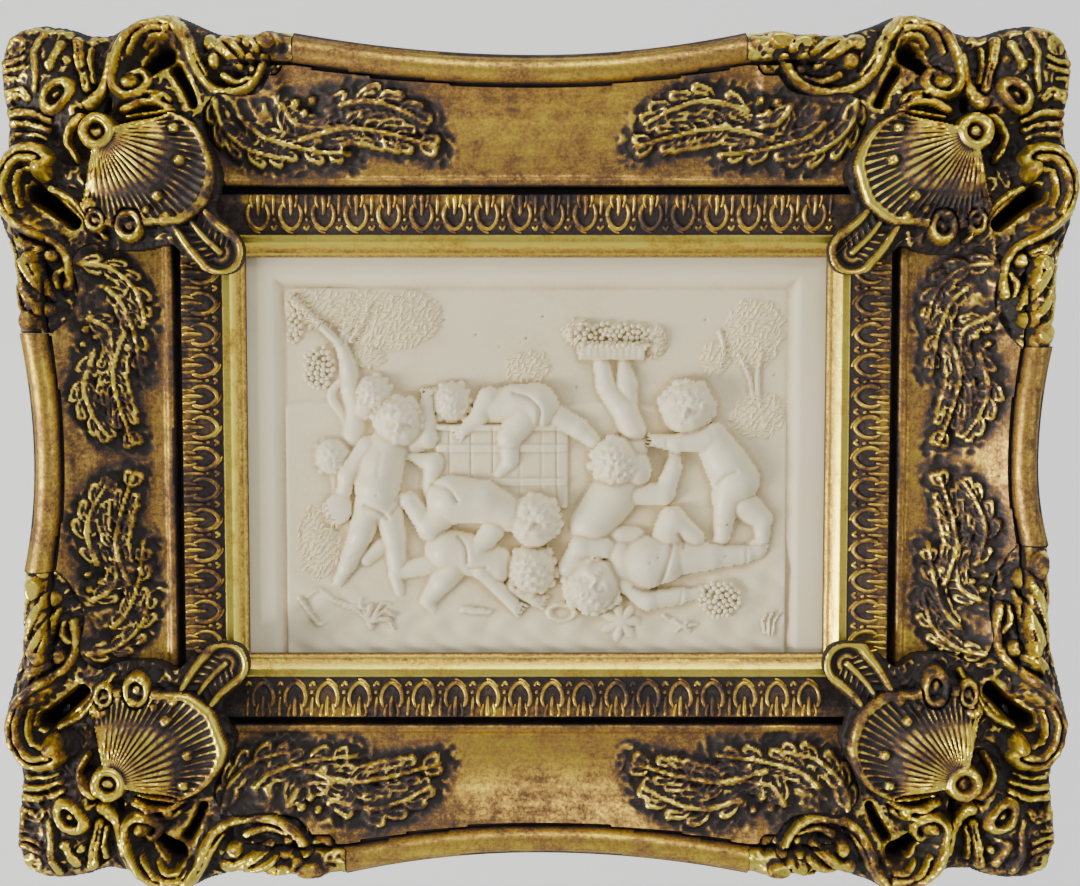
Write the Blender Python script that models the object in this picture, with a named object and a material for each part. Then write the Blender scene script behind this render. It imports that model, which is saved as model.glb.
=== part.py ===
"""Relief plaque in a swept frame with cast corner cartouches.

The frame stands upright as it hangs: X runs across it, Z up it, and its front faces -Y.
Every back lies in the plane Y = 0. The origin is on the back of the top rail, in its middle.
Carving is drawn as heights above the back: strokes, beads, fans and rounded limbs that are
laid over one another, so each form is worked out from a few points and named sizes.
"""
import math

import bmesh
import bpy
import numpy as np

MM = 0.001

# Opening, and the clearance between neighbouring pieces
OPENING_WIDTH = 166.5 * MM
OPENING_HEIGHT = 114.5 * MM
CLEARANCE = 0.3 * MM

# Slip: sight bevel, narrow fillet, leaf strip, then the floor of the dark channel
SIGHT_BEVEL = 4.8 * MM
SIGHT_FILLET = 1.2 * MM
LEAF_STRIP = 11.5 * MM
CHANNEL_WIDTH = 1.9 * MM
SIGHT_HEIGHT = 9.4 * MM
SIGHT_FILLET_HEIGHT = 12.4 * MM
LEAF_STRIP_HEIGHT = 15.0 * MM
CHANNEL_HEIGHT = 8.0 * MM
LEAF_PITCH = 9.0 * MM
LEAF_RELIEF = 0.8 * MM

# Rail section, from the inner fillet out to the rim
LONG_RAIL_WIDTH = 36.0 * MM
SHORT_RAIL_WIDTH = 38.8 * MM
LONG_RAIL_SWEEP = 6.0 * MM
SHORT_RAIL_SWEEP = 3.4 * MM
INNER_FILLET = 2.6 * MM
INNER_FILLET_HEIGHT = 14.2 * MM
COVE_FOOT_HEIGHT = 13.2 * MM
COVE_TOP_HEIGHT = 24.0 * MM
RIM_GROOVE = 0.9 * MM
RIM_GROOVE_DEPTH = 1.6 * MM
RIM_WIDTH = 6.6 * MM
RIM_RISE = 3.2 * MM
SIDE_WIDTH = 2.2 * MM
SIDE_DROP = 9.0 * MM

# Leaf sprays on the coves of the rails
SPRAY_RISE = 2.6 * MM
LONG_SPRAY_START = 28.0 * MM
LONG_SPRAY_END = 89.0 * MM
SHORT_SPRAY_START = 4.0 * MM
SHORT_SPRAY_END = 55.0 * MM

# Corner castings, drawn on a board whose unit is a fiftieth of their reach
CORNER_REACH = 70.4 * MM
CORNER_BODY_HEIGHT = 21.0 * MM
CORNER_EDGE_ROUND = 3.0 * MM
CORNER_EDGE_DROP = 7.0 * MM
SHELL_HEIGHT = 24.5 * MM
SHELL_DOME = 4.5 * MM
SHELL_RIB_RELIEF = 0.9 * MM
TONGUE_HEIGHT = 21.5 * MM
TONGUE_CLEARANCE = 0.8 * MM
PIERCING_RADIUS = 1.3 * MM
PIERCING_SIDES = 10

# Cast relief
PLAQUE_LAP = 4.0 * MM
PLAQUE_GROUND = 5.2 * MM
BORDER_WIDTH = 10.9 * MM
TOP_BORDER = 9.0 * MM
BORDER_RISE = 1.8 * MM
BORDER_COVE = 4.0 * MM
RELIEF_FLATTENING = 0.62
RELIEF_DEPTH = 0.72

# Cutters, and how far each rail blank runs under the corners, in board units
CUTTER_REACH = 5.0 * MM
CUTTER_DEPTH = 60.0 * MM
RAIL_TUCK = 9.0
BLANK_TAPER = 1.6 * MM
BLANK_DRAW_IN = 5.0 * MM
WELD = 0.001 * MM

# Mesh fineness
CARVING_STEP = 0.9 * MM
RAIL_STEP = 1.2 * MM
PLAQUE_STEP = 0.85 * MM
SOFTENING = 2
OUTLINE_STEPS = 2
CORNER_FACES = 620
PLAQUE_FACES = 2150
LONG_RAIL_FACES = 350
SHORT_RAIL_FACES = 300
LONG_SLIP_FACES = 260
SHORT_SLIP_FACES = 190

SLIP_WIDTH = SIGHT_BEVEL + SIGHT_FILLET + LEAF_STRIP + CHANNEL_WIDTH
RAIL_START = SLIP_WIDTH + CLEARANCE
LEAF_CLEARANCE = LEAF_STRIP_HEIGHT + LEAF_RELIEF + TONGUE_CLEARANCE
CORNER_UNIT = CORNER_REACH / 50
# The castings are drawn for rails of these reaches and stretch with them, across and up
DRAWN_LONG_REACH = 61.7 * MM
DRAWN_SHORT_REACH = 61.9 * MM
LONG_REACH = RAIL_START + LONG_RAIL_WIDTH + LONG_RAIL_SWEEP
SHORT_REACH = RAIL_START + SHORT_RAIL_WIDTH + SHORT_RAIL_SWEEP
UP_UNIT = CORNER_UNIT * LONG_REACH / DRAWN_LONG_REACH
ACROSS_UNIT = CORNER_UNIT * SHORT_REACH / DRAWN_SHORT_REACH
RELIEF_UNIT = (OPENING_WIDTH - 2 * BORDER_WIDTH) / 99
HANG_HEIGHT = OPENING_HEIGHT / 2 + RAIL_START + LONG_RAIL_WIDTH / 2


# Curves and height functions
def smooth_curve(points, steps=5):
    """Points along a Catmull-Rom curve through the given ones."""
    p = np.array(points, float)
    last = len(p) - 1
    t = (np.arange(steps) / steps)[:, None]
    curve = []
    for i in range(last):
        a, b, c, d = (p[min(max(i + k, 0), last)] for k in (-1, 0, 1, 2))
        curve.append(0.5 * (2 * b + (c - a) * t + (2 * a - 5 * b + 4 * c - d) * t ** 2
                            + (3 * b - a - 3 * c + d) * t ** 3))
    return np.concatenate(curve + [p[-1:]])


def along_line(x, z, line):
    """Distance of each point from a line of points, and how far along the nearest place is."""
    best = np.full(x.shape, np.inf)
    share = np.zeros(x.shape)
    for i in range(len(line) - 1):
        (ax, az), (bx, bz) = line[i], line[i + 1]
        dx, dz = bx - ax, bz - az
        length = dx * dx + dz * dz + 1e-12
        t = np.clip(((x - ax) * dx + (z - az) * dz) / length, 0, 1)
        gap = np.hypot(x - ax - t * dx, z - az - t * dz)
        nearer = gap < best
        best = np.where(nearer, gap, best)
        share = np.where(nearer, (i + t) / (len(line) - 1), share)
    return best, share


def smooth_step(t):
    """Rises gently from 0 to 1 as t does."""
    t = np.clip(t, 0, 1)
    return t * t * (3 - 2 * t)


def smooth_max(a, b, blend):
    """The higher of two surfaces, with a soft hollow of the given size where they meet."""
    mix = np.clip(0.5 + 0.5 * (a - b) / blend, 0, 1)
    return b + (a - b) * mix + blend * mix * (1 - mix)


def round_over(gap, half_width):
    """Height share of a half-round ridge at a distance from its middle line."""
    return np.sqrt(np.clip(1 - (gap / half_width) ** 2, 0, 1))


def ridge(x, z, points, start, end, rise, groove=0.0):
    """Rise of a rounded ridge along a curve, tapering from one half width to the other.

    groove is the share of the rise that is taken out along its middle line.
    """
    gap, share = along_line(x, z, smooth_curve(points))
    half = start + (end - start) * share
    return rise * round_over(gap, half) * (1 - groove * np.exp(-(3.2 * gap / half) ** 2))


def bead(x, z, place, radius, rise):
    """Rise of a round bead."""
    return rise * round_over(np.hypot(x - place[0], z - place[1]), radius)


# Sections of the slip and the rails, as heights at a distance out from the opening
def slip_height(d):
    """Sight bevel, fillet, bulging leaf strip and the channel floor."""
    bevel = smooth_step(d / SIGHT_BEVEL)
    height = SIGHT_HEIGHT + (SIGHT_FILLET_HEIGHT - SIGHT_HEIGHT) * bevel
    strip = (d - SIGHT_BEVEL - SIGHT_FILLET) / LEAF_STRIP
    face = SIGHT_FILLET_HEIGHT + (LEAF_STRIP_HEIGHT - SIGHT_FILLET_HEIGHT) * strip
    face = face + 0.4 * LEAF_RELIEF * np.sin(math.pi * np.clip(strip, 0, 1))
    height = np.where(strip > 0, face, height)
    return np.where(strip > 1, CHANNEL_HEIGHT, height)


def leaf_strip(s, d, length):
    """Relief of the row of leaf tips, each with a rounded tip towards the opening."""
    pitch = length / round(length / LEAF_PITCH)
    across = (s / pitch) % 1 - 0.5
    strip = (d - SIGHT_BEVEL - SIGHT_FILLET) / LEAF_STRIP
    half = 0.44 * round_over(strip - 0.62, 0.56)
    leaf = np.clip(1 - np.abs(across) / np.maximum(half, 0.01), 0, 1) ** 0.6
    return LEAF_RELIEF * np.where((strip > 0) & (strip < 0.98), leaf, 0)


def rail_height(d, outer):
    """Inner fillet, cove, groove, rim bead and outer side."""
    q = outer - d
    cove_in = RAIL_START + INNER_FILLET
    cove_out = SIDE_WIDTH + RIM_WIDTH + RIM_GROOVE
    fillet_half = INNER_FILLET / 2
    fillet = INNER_FILLET_HEIGHT * 0.94 + INNER_FILLET_HEIGHT * 0.06 * round_over(
        d - RAIL_START - fillet_half, fillet_half)
    t = np.clip((d - cove_in) / (outer - cove_out - cove_in), 0, 1)
    height = COVE_FOOT_HEIGHT + (COVE_TOP_HEIGHT - COVE_FOOT_HEIGHT) * t ** 1.9
    height = np.where(d < cove_in, fillet, height)
    height = np.where(q < cove_out, COVE_TOP_HEIGHT - RIM_GROOVE_DEPTH, height)
    rim_half = RIM_WIDTH / 2
    rim = COVE_TOP_HEIGHT + RIM_RISE * round_over(q - SIDE_WIDTH - rim_half, rim_half)
    height = np.where(q < SIDE_WIDTH + RIM_WIDTH, rim, height)
    side = COVE_TOP_HEIGHT - SIDE_DROP * (1 - round_over(q - SIDE_WIDTH, SIDE_WIDTH))
    return np.where(q < SIDE_WIDTH, side, height)


def rail_outer(s, seam, width, sweep):
    """Distance out to the side of a rail, whose middle is drawn in.

    seam is the distance of the casting's end from the middle, on the same side as each point.
    The blank under the castings is drawn in as well, and they cut it away.
    """
    out = RAIL_START + width + sweep * np.minimum(np.abs(s) / seam, 1) ** 2
    return out - BLANK_DRAW_IN * smooth_step((np.abs(s) - seam - BLANK_TAPER) / BLANK_TAPER)


# Spray of acanthus leaves on a cove: points are shares along it and across the cove
SPRAY = (
    (((0.00, 0.45), (0.10, 0.00), (0.24, -0.55), (0.40, -0.45)), 0.085, 0.050, 0.7),
    (((0.30, -0.35), (0.48, 0.05), (0.70, 0.10), (1.00, 0.00)), 0.090, 0.030, 1.0),
    (((0.34, 0.75), (0.38, 0.35), (0.46, 0.05)), 0.075, 0.060, 0.9),
    (((0.56, 0.80), (0.52, 0.45), (0.56, 0.10)), 0.070, 0.050, 0.8),
    (((0.76, 0.55), (0.70, 0.35), (0.70, 0.10)), 0.060, 0.045, 0.8),
    (((0.62, -0.60), (0.64, -0.25), (0.72, 0.00)), 0.060, 0.045, 0.8),
    (((0.84, -0.45), (0.84, -0.20), (0.88, 0.00)), 0.050, 0.035, 0.7),
    (((0.14, 0.70), (0.20, 0.30), (0.30, -0.10)), 0.060, 0.045, 0.6),
)


def spray(s, d, outer, start, end):
    """Relief of one spray that runs from start to end along the rail."""
    length = end - start
    cove_in = RAIL_START + INNER_FILLET
    cove = outer - SIDE_WIDTH - RIM_WIDTH - RIM_GROOVE - cove_in
    along = (np.abs(s) - start) / length
    across = ((d - cove_in) / cove - 0.5) * 2 * (0.5 * cove / length)
    relief = np.zeros(s.shape)
    for points, first, last, rise in SPRAY:
        drawn = [(1 - t, 0.8 * c * 0.5 * cove.mean() / length) for t, c in points]
        relief = np.maximum(relief, ridge(along, across, drawn, first, last, rise, 0.4))
    return SPRAY_RISE * relief


# Corner casting, drawn in units from the corner of the opening outwards: across, then up
BOARD_REACH = 51.0
TOP_ARM_END = -16.0
SIDE_ARM_END = -18.0
ARM_START = 8.0
CORNER_OUTER = (
    (TOP_ARM_END, LONG_REACH / UP_UNIT), (-12.5, 44.7), (-6.0, 43.7), (0.6, 43.5), (4.6, 44.3),
    (8.6, 45.8), (12.6, 47.3), (16.0, 47.3), (20.6, 45.7), (24.0, 43.8), (28.6, 43.3), (33.0, 44.6), (39.0, 45.2), (44.2, 43.4),
    (46.4, 38.8), (46.6, 33.3), (45.6, 26.0), (46.4, 20.3), (48.1, 17.0), (48.7, 12.0), (47.6, 7.3),
    (46.2, 2.0), (45.0, -4.4), (44.3, -11.0), (SHORT_REACH / ACROSS_UNIT, SIDE_ARM_END),
)
CORNER_INNER = (
    (36.6, -18.0), (33.0, -13.5), (31.8, -8.0), (32.6, -2.0), (29.4, 1.8), (24.6, 0.4), (18.6, 0.6),
    (13.6, 2.0), (11.0, -0.2), (7.4, -3.0), (3.0, -3.8), (-0.2, -2.4), (-1.2, 1.6), (0.8, 5.0),
    (4.2, 8.4), (3.6, 12.0), (2.8, 16.0), (4.0, 20.0), (6.0, 24.0), (6.4, 28.0), (3.0, 31.4),
    (-2.0, 31.2), (-7.5, 32.0), (-11.0, 35.5), (-16.0, 37.8),
)
HUB = (26.2, 23.7)
SHELL_INNER = 14.0
SHELL_OUTER = 22.6
SHELL_RIBS = 17
TONGUE = ((9.5, 7.0), (6.8, 3.6), (4.4, 0.9))
TONGUE_HALF = 4.7

# Points of each ridge, its half widths at start and end, its rise in millimetres and its groove
SCROLLS = (
    (((13.8, 43.0), (17.0, 45.2), (21.0, 43.6), (23.6, 39.6), (24.8, 34.6), (23.6, 31.4), (20.4, 30.6),
      (18.0, 32.6), (19.2, 34.8)), 1.7, 1.2, 8.0, 0.35),
    (((15.0, 40.6), (17.6, 41.6), (20.0, 39.6), (21.2, 36.8)), 0.9, 0.6, 5.6, 0.0),
    (((14.6, 45.6), (10.4, 42.0), (8.0, 37.4), (4.6, 33.0), (-1.6, 31.9), (-7.4, 33.6), (-10.6, 37.0)),
     1.6, 1.0, 7.0, 0.45),
    (((38.2, 16.0), (36.6, 18.8), (38.8, 21.4), (43.4, 21.2), (46.6, 18.0), (47.4, 12.8), (45.6, 7.8),
      (41.8, 4.2), (37.2, 1.4), (34.6, -3.4), (33.4, -8.0)), 1.8, 1.1, 8.0, 0.35),
    (((41.8, 17.6), (44.0, 14.8), (43.8, 11.0)), 0.8, 0.6, 5.0, 0.0),
    (((42.6, 2.6), (40.6, -5.6), (37.0, -12.4)), 1.5, 0.8, 5.0, 0.4),
    (((39.0, -1.2), (37.4, -6.4), (35.0, -10.4)), 1.0, 0.7, 4.2, 0.0),
    (((4.0, 36.2), (0.0, 40.2), (-4.0, 41.6)), 1.6, 1.0, 4.6, 0.4),
    (((0.4, 35.8), (-3.6, 38.0), (-7.4, 40.6)), 1.5, 1.0, 4.6, 0.4),
    (((29.8, 37.0), (29.4, 33.6), (28.6, 31.4)), 1.5, 1.0, 4.0, 0.3),
    (((40.2, 36.6), (43.4, 35.6)), 0.9, 0.7, 2.2, 0.0),
    (((40.2, 34.4), (43.4, 33.4)), 0.9, 0.7, 2.2, 0.0),
    (((36.0, 26.6), (40.0, 26.8), (44.0, 25.2)), 1.1, 0.8, 2.6, 0.0),
    (((34.6, 40.8), (33.4, 37.4), (35.0, 34.6)), 1.3, 0.8, 2.6, 0.3),
    (((31.8, 26.8), (30.6, 22.6), (29.4, 19.6)), 1.2, 0.8, 5.4, 0.0),
    (((19.0, 28.4), (15.6, 29.4), (12.4, 29.0)), 1.3, 0.7, 5.0, 0.3),
)
BEADS = (
    ((HUB[0], HUB[1]), 3.2, 9.0), ((38.0, 15.8), 1.8, 8.4), ((3.8, 41.0), 1.6, 4.4), ((2.4, 37.6), 1.4, 4.4),
    ((-12.0, 42.0), 2.2, 5.0), ((-9.2, 38.6), 1.5, 4.0), ((39.6, -2.4), 1.6, 4.6), ((36.2, -1.6), 1.6, 4.6),
    ((37.4, -13.6), 2.0, 4.2), ((41.2, -15.4), 2.3, 4.6), ((11.6, 24.7), 1.2, 7.0), ((10.6, 18.3), 1.2, 7.0),
    ((15.0, 11.4), 1.2, 6.6), ((21.6, 7.3), 1.2, 6.6), ((28.6, 9.7), 1.2, 6.6),
)
SIDE_LOBES = (((27.6, 6.3), 2.6), ((21.4, 5.3), 3.2))
ALMOND = ((34.4, 30.9), 4.6, 2.6, 4.2)
DISC = ((42.8, 40.9), 2.3, -1.6)
HOLLOWS = (((15.4, 36.0), 3.4, 6.0), ((36.8, 11.0), 3.0, 11.0), ((32.0, 6.6), 3.0, 11.0),
           ((11.0, 31.6), 2.4, 4.0), ((36.4, -6.0), 2.0, 4.0))
PIERCING = (37.6, 11.4)
CORNERS = {
    "corner_top_left": (-1, 1, -11.6, -15.4, False),
    "corner_top_right": (1, 1, -18.0, -18.0, False),
    "corner_bottom_left": (-1, -1, -20.8, -18.4, True),
    "corner_bottom_right": (1, -1, -16.4, -23.6, True),
}


def arm_warp(a, b, top_scale, side_scale):
    """Board places with the two arms drawn out or in, which leaves the shell and tongue alone."""
    top = smooth_step((b - a - ARM_START) / ARM_START) * (a < ARM_START)
    side = smooth_step((a - b - ARM_START) / ARM_START) * (b < ARM_START)
    return (a + (a - ARM_START) * (top_scale - 1) * top,
            b + (b - ARM_START) * (side_scale - 1) * side)


def arm_scales(top_end, side_end):
    """How much longer the real arms are than the drawn ones."""
    return ((ARM_START - top_end) / (ARM_START - TOP_ARM_END),
            (ARM_START - side_end) / (ARM_START - SIDE_ARM_END))


def shell(a, b):
    """Height of the scallop shell: a ribbed dome, then a fluted band with a raised edge."""
    r = np.hypot(a - HUB[0], b - HUB[1])
    angle = np.degrees(np.arctan2(HUB[1] - b, HUB[0] - a))
    fan = (angle > -14) & (angle < 104)
    ribs = np.abs(np.sin(np.radians((angle + 14) / 118 * 180 * SHELL_RIBS)))
    dome = SHELL_HEIGHT + SHELL_DOME * (1 - (r / SHELL_INNER) ** 2)
    dome = dome + SHELL_RIB_RELIEF * ribs * np.clip(r / SHELL_INNER, 0, 1)
    edge = (r - SHELL_INNER) / (SHELL_OUTER - SHELL_INNER)
    band = SHELL_HEIGHT - 1.5 * MM + 2.6 * MM * edge + SHELL_RIB_RELIEF * 0.8 * ribs
    rim = SHELL_HEIGHT + 2.2 * MM * round_over(edge - 0.88, 0.12)
    band = np.where(edge > 0.76, rim, band)
    height = np.where(r < SHELL_INNER, dome, band)
    return np.where(fan & (r < SHELL_OUTER), height, 0)


def tongue(a, b):
    """Height of the lobed leaf that runs out over the mitre of the slips."""
    gap, share = along_line(a, b, smooth_curve(TONGUE))
    height = TONGUE_HEIGHT - 2.5 * MM * share
    rim = 2.2 * MM * round_over(gap - TONGUE_HALF * 0.8, TONGUE_HALF * 0.2)
    midrib = 1.8 * MM * round_over(gap, TONGUE_HALF * 0.22)
    return np.where(gap < TONGUE_HALF, height + np.maximum(rim, midrib), 0)


def inside(a, b, outline):
    """Whether each point lies inside a closed outline."""
    within = np.zeros(a.shape, bool)
    for (a0, b0), (a1, b1) in zip(outline, np.roll(outline, -1, 0)):
        if b0 != b1:
            within ^= ((b0 > b) != (b1 > b)) & (a < (a1 - a0) * (b - b0) / (b1 - b0) + a0)
    return within


def corner_height(a, b, outline, whole):
    """Height of the casting at board points, whose outer outline rounds its edge.

    Well outside the whole outline it is flat, because that is cut away.
    """
    x, z = a * ACROSS_UNIT, b * UP_UNIT
    body = np.full(a.shape, CORNER_BODY_HEIGHT)
    top_outer = LONG_REACH
    side_outer = SHORT_REACH
    top_share = smooth_step((ARM_START - 2 - a) / 12) * (b > a)
    side_share = smooth_step((ARM_START - 2 - b) / 12) * (a > b)
    bed = body + (rail_height(z, top_outer) - body) * top_share
    bed = bed + (rail_height(x, side_outer) - bed) * side_share
    relief = np.zeros(a.shape)
    for points, start, end, rise, groove in SCROLLS:
        relief = np.maximum(relief, ridge(a, b, points, start, end, rise * MM, groove))
    for place, radius, rise in BEADS:
        relief = np.maximum(relief, bead(a, b, place, radius, rise * MM))
    (ca, cb), long_half, short_half, rise = ALMOND
    turn = math.sqrt(0.5)
    u = ((a - ca) + (b - cb)) * turn / short_half
    v = ((a - ca) - (b - cb)) * turn / long_half
    r = np.hypot(u, v)
    relief = np.maximum(relief, rise * MM * round_over(r - 0.72, 0.3))
    relief = relief + DISC[2] * MM * (np.hypot(a - DISC[0][0], b - DISC[0][1]) < DISC[1])
    height = bed + relief
    for place, radius, depth in HOLLOWS:
        hollow = depth * MM * round_over(np.hypot(a - place[0], b - place[1]), radius)
        height = np.where(relief < 1.5 * MM, height - hollow, height)
    for place, radius in SIDE_LOBES:
        gap = np.hypot(a - place[0], b - place[1])
        lobe = SHELL_HEIGHT - 2 * MM + 3.4 * MM * round_over(gap, radius)
        height = np.where(gap < radius, np.maximum(height, lobe), height)
    height = np.maximum(height, shell(a, b))
    height = np.maximum(height, tongue(a, b))
    hub = SHELL_HEIGHT + SHELL_DOME + 1.5 * MM * round_over(np.hypot(a - HUB[0], b - HUB[1]), 3.2)
    height = np.where(np.hypot(a - HUB[0], b - HUB[1]) < 3.2, np.maximum(height, hub), height)
    gap, _ = along_line(a, b, outline)
    edge = np.clip(1 - gap * CORNER_UNIT / CORNER_EDGE_ROUND, 0, 1)
    height = height - CORNER_EDGE_DROP * (1 - np.sqrt(1 - edge ** 2))
    margin, _ = along_line(a, b, np.concatenate([whole, whole[:1]]))
    return np.where(inside(a, b, whole) | (margin < 1.5), height, CORNER_BODY_HEIGHT)


# Relief: every figure is a list of limbs on a board 99 units wide, from the middle of the field.
# A limb runs from one round end to the other: across, up, radius, lift, twice.
FIGURES = {
    "reaching": (
        (-33.2, 11.6, 3.8, 0.4, -33.2, 11.0, 3.8, 0.4), (-37.0, 9.0, 2.2, 0.2, -37.4, 15.0, 1.7, 0.4),
        (-37.4, 15.0, 1.7, 0.4, -38.4, 22.0, 1.4, 0.4), (-35.6, 8.6, 2.0, 0.2, -36.2, 4.0, 2.4, 0.0),
    ),
    "listening": ((-40.4, 0.2, 3.6, 0.2, -40.4, -0.2, 3.5, 0.2),),
    "standing": (
        (-27.0, 7.2, 4.5, 2.4, -26.8, 6.0, 4.2, 2.4), (-28.4, 2.6, 2.2, 1.4, -29.6, 0.0, 3.4, 1.6),
        (-30.4, -1.4, 4.5, 1.8, -31.0, -6.2, 4.5, 2.2), (-31.0, -6.2, 4.5, 2.2, -30.6, -9.6, 4.6, 1.8),
        (-25.6, 0.6, 2.0, 2.2, -21.2, 1.6, 1.9, 2.4), (-21.2, 1.6, 1.8, 2.4, -21.4, 11.4, 1.5, 1.8),
        (-34.4, 1.4, 2.2, 1.8, -38.4, -4.0, 1.9, 1.6), (-38.4, -4.0, 1.8, 1.6, -38.6, -8.4, 1.4, 1.4),
        (-25.6, -0.2, 1.9, 2.0, -20.6, -0.8, 1.7, 2.2), (-20.6, -0.8, 1.6, 2.2, -21.8, -7.4, 1.3, 1.8),
        (-33.2, -9.8, 3.5, 1.8, -35.8, -16.0, 2.5, 1.8), (-35.8, -16.4, 2.4, 1.6, -38.2, -22.8, 1.6, 1.0),
        (-38.2, -23.4, 1.5, 0.9, -40.0, -24.6, 1.2, 0.8), (-29.0, -10.4, 3.5, 1.8, -27.8, -16.2, 2.5, 1.8),
        (-27.8, -16.4, 2.4, 1.6, -27.2, -23.0, 1.6, 1.0), (-39.2, -9.6, 2.3, 0.8, -39.2, -11.0, 2.5, 0.8),
    ),
    "crawling": (
        (-18.8, -19.6, 4.4, 1.2, -12.0, -20.0, 4.2, 1.2), (-12.0, -20.0, 4.2, 1.2, -7.4, -22.0, 4.0, 1.4),
        (-17.0, -22.0, 3.2, 1.4, -21.4, -28.8, 2.2, 1.0), (-19.6, -23.2, 2.2, 1.0, -27.6, -24.2, 1.5, 0.6),
        (-27.8, -24.4, 1.4, 0.6, -27.4, -27.4, 1.2, 0.5), (-1.2, -23.4, 4.5, 2.2, -1.0, -24.2, 4.3, 2.2),
        (-5.0, -25.6, 2.0, 1.4, -0.4, -29.0, 1.6, 0.9), (-0.4, -29.0, 1.5, 0.9, 2.2, -28.4, 1.2, 0.7),
    ),
    "bending": (
        (-17.6, -8.2, 5.1, 2.6, -12.6, -8.4, 4.6, 2.8), (-12.6, -8.4, 4.6, 2.8, -6.0, -10.8, 4.3, 2.8),
        (-18.4, -10.4, 3.6, 2.4, -21.4, -14.4, 2.5, 2.2), (-21.4, -14.4, 2.3, 2.0, -27.2, -8.6, 1.5, 1.4),
        (-27.2, -8.6, 1.4, 1.4, -29.8, -7.4, 1.1, 1.2), (0.0, -12.8, 4.6, 3.6, 0.2, -13.8, 4.4, 3.6),
        (-8.0, -13.2, 2.2, 3.2, -11.2, -19.6, 1.9, 3.0), (-11.2, -19.6, 1.8, 3.0, -6.8, -27.6, 1.4, 1.8),
        (-6.8, -27.6, 1.3, 1.6, -3.8, -30.4, 1.1, 1.0),
    ),
    "leaning": (
        (-16.4, 9.8, 3.6, 1.0, -16.8, 9.2, 3.5, 1.0), (-13.4, 10.6, 3.3, 1.0, -7.0, 11.6, 4.0, 1.4),
        (-7.0, 11.6, 4.0, 1.4, 0.6, 10.2, 4.6, 1.8), (-9.6, 12.0, 2.1, 2.2, -12.4, 8.2, 1.7, 2.4),
        (-12.4, 8.2, 1.6, 2.4, -14.2, 5.4, 1.2, 2.2), (-1.0, 8.4, 3.8, 2.6, -5.0, 3.6, 2.5, 2.8),
        (-5.0, 3.6, 2.3, 2.6, -5.4, -2.0, 1.6, 2.0), (-5.4, -2.4, 1.4, 2.0, -7.8, -3.8, 1.1, 1.8),
        (2.6, 9.6, 3.8, 1.6, 7.0, 7.6, 2.7, 1.6), (7.0, 7.6, 2.4, 1.6, 10.4, 4.4, 1.7, 1.4),
        (10.4, 4.4, 1.5, 1.4, 12.0, 2.6, 1.2, 1.2),
    ),
    "carrying": (
        (12.4, 19.0, 1.6, 0.8, 12.8, 13.4, 1.9, 1.0), (12.8, 13.4, 1.9, 1.0, 19.6, 6.8, 2.3, 1.0),
        (16.4, 18.6, 1.5, 0.6, 18.8, 13.0, 1.8, 0.8), (18.8, 13.0, 1.8, 0.8, 20.6, 7.4, 2.2, 1.0),
        (16.6, -1.0, 4.8, 3.0, 17.2, -1.6, 4.6, 3.0), (20.0, 2.0, 3.0, 0.8, 19.0, -4.0, 4.0, 1.0),
        (15.6, -8.0, 5.2, 1.2, 11.0, -15.0, 5.0, 1.2), (20.4, -7.4, 2.2, 2.0, 28.0, -4.2, 1.7, 2.0),
        (28.0, -4.2, 1.6, 2.0, 28.2, 0.6, 1.2, 1.8),
    ),
    "watching": (
        (30.0, 9.8, 4.8, 2.6, 29.8, 9.0, 4.6, 2.6), (33.0, 5.0, 2.2, 1.4, 35.2, 3.6, 3.6, 1.6),
        (35.4, 3.8, 3.9, 1.6, 38.6, -1.6, 4.6, 2.0), (38.6, -1.6, 4.6, 2.0, 41.0, -5.4, 4.7, 1.8),
        (34.4, 2.6, 2.0, 2.8, 28.6, 2.0, 1.8, 3.0), (28.6, 2.0, 1.7, 3.0, 23.2, 2.8, 1.2, 2.6),
        (38.4, -8.2, 3.6, 1.8, 36.8, -13.4, 2.4, 1.6), (36.8, -13.4, 2.3, 1.4, 36.2, -17.4, 1.7, 1.0),
        (42.2, -8.4, 3.9, 1.6, 45.0, -13.2, 2.5, 1.4), (45.0, -13.2, 2.3, 1.2, 44.6, -17.6, 1.6, 0.8),
    ),
    "reclining": (
        (10.6, -24.2, 5.3, 3.4, 10.4, -25.0, 5.1, 3.4), (6.8, -18.8, 2.1, 2.6, 13.2, -18.6, 2.2, 2.8),
        (13.2, -18.6, 2.1, 2.8, 17.4, -20.6, 2.8, 2.6), (18.6, -21.2, 4.7, 2.4, 24.2, -21.2, 4.8, 2.8),
        (24.2, -21.2, 4.8, 2.8, 28.4, -20.2, 4.4, 2.6), (16.6, -25.6, 2.3, 3.0, 22.8, -29.6, 1.9, 2.4),
        (22.8, -29.6, 1.8, 2.4, 32.0, -28.4, 1.4, 1.4), (29.0, -20.8, 3.7, 2.6, 35.4, -20.6, 2.6, 2.2),
        (35.4, -20.6, 2.4, 2.2, 42.2, -19.8, 1.7, 1.4), (42.2, -19.8, 1.5, 1.4, 45.4, -18.8, 1.2, 1.0),
        (26.4, -17.6, 3.8, 2.0, 29.8, -12.0, 2.8, 2.0), (29.8, -12.0, 2.5, 2.0, 33.0, -17.4, 2.0, 1.8),
    ),
}
LIMB_BLEND = 0.9
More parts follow.
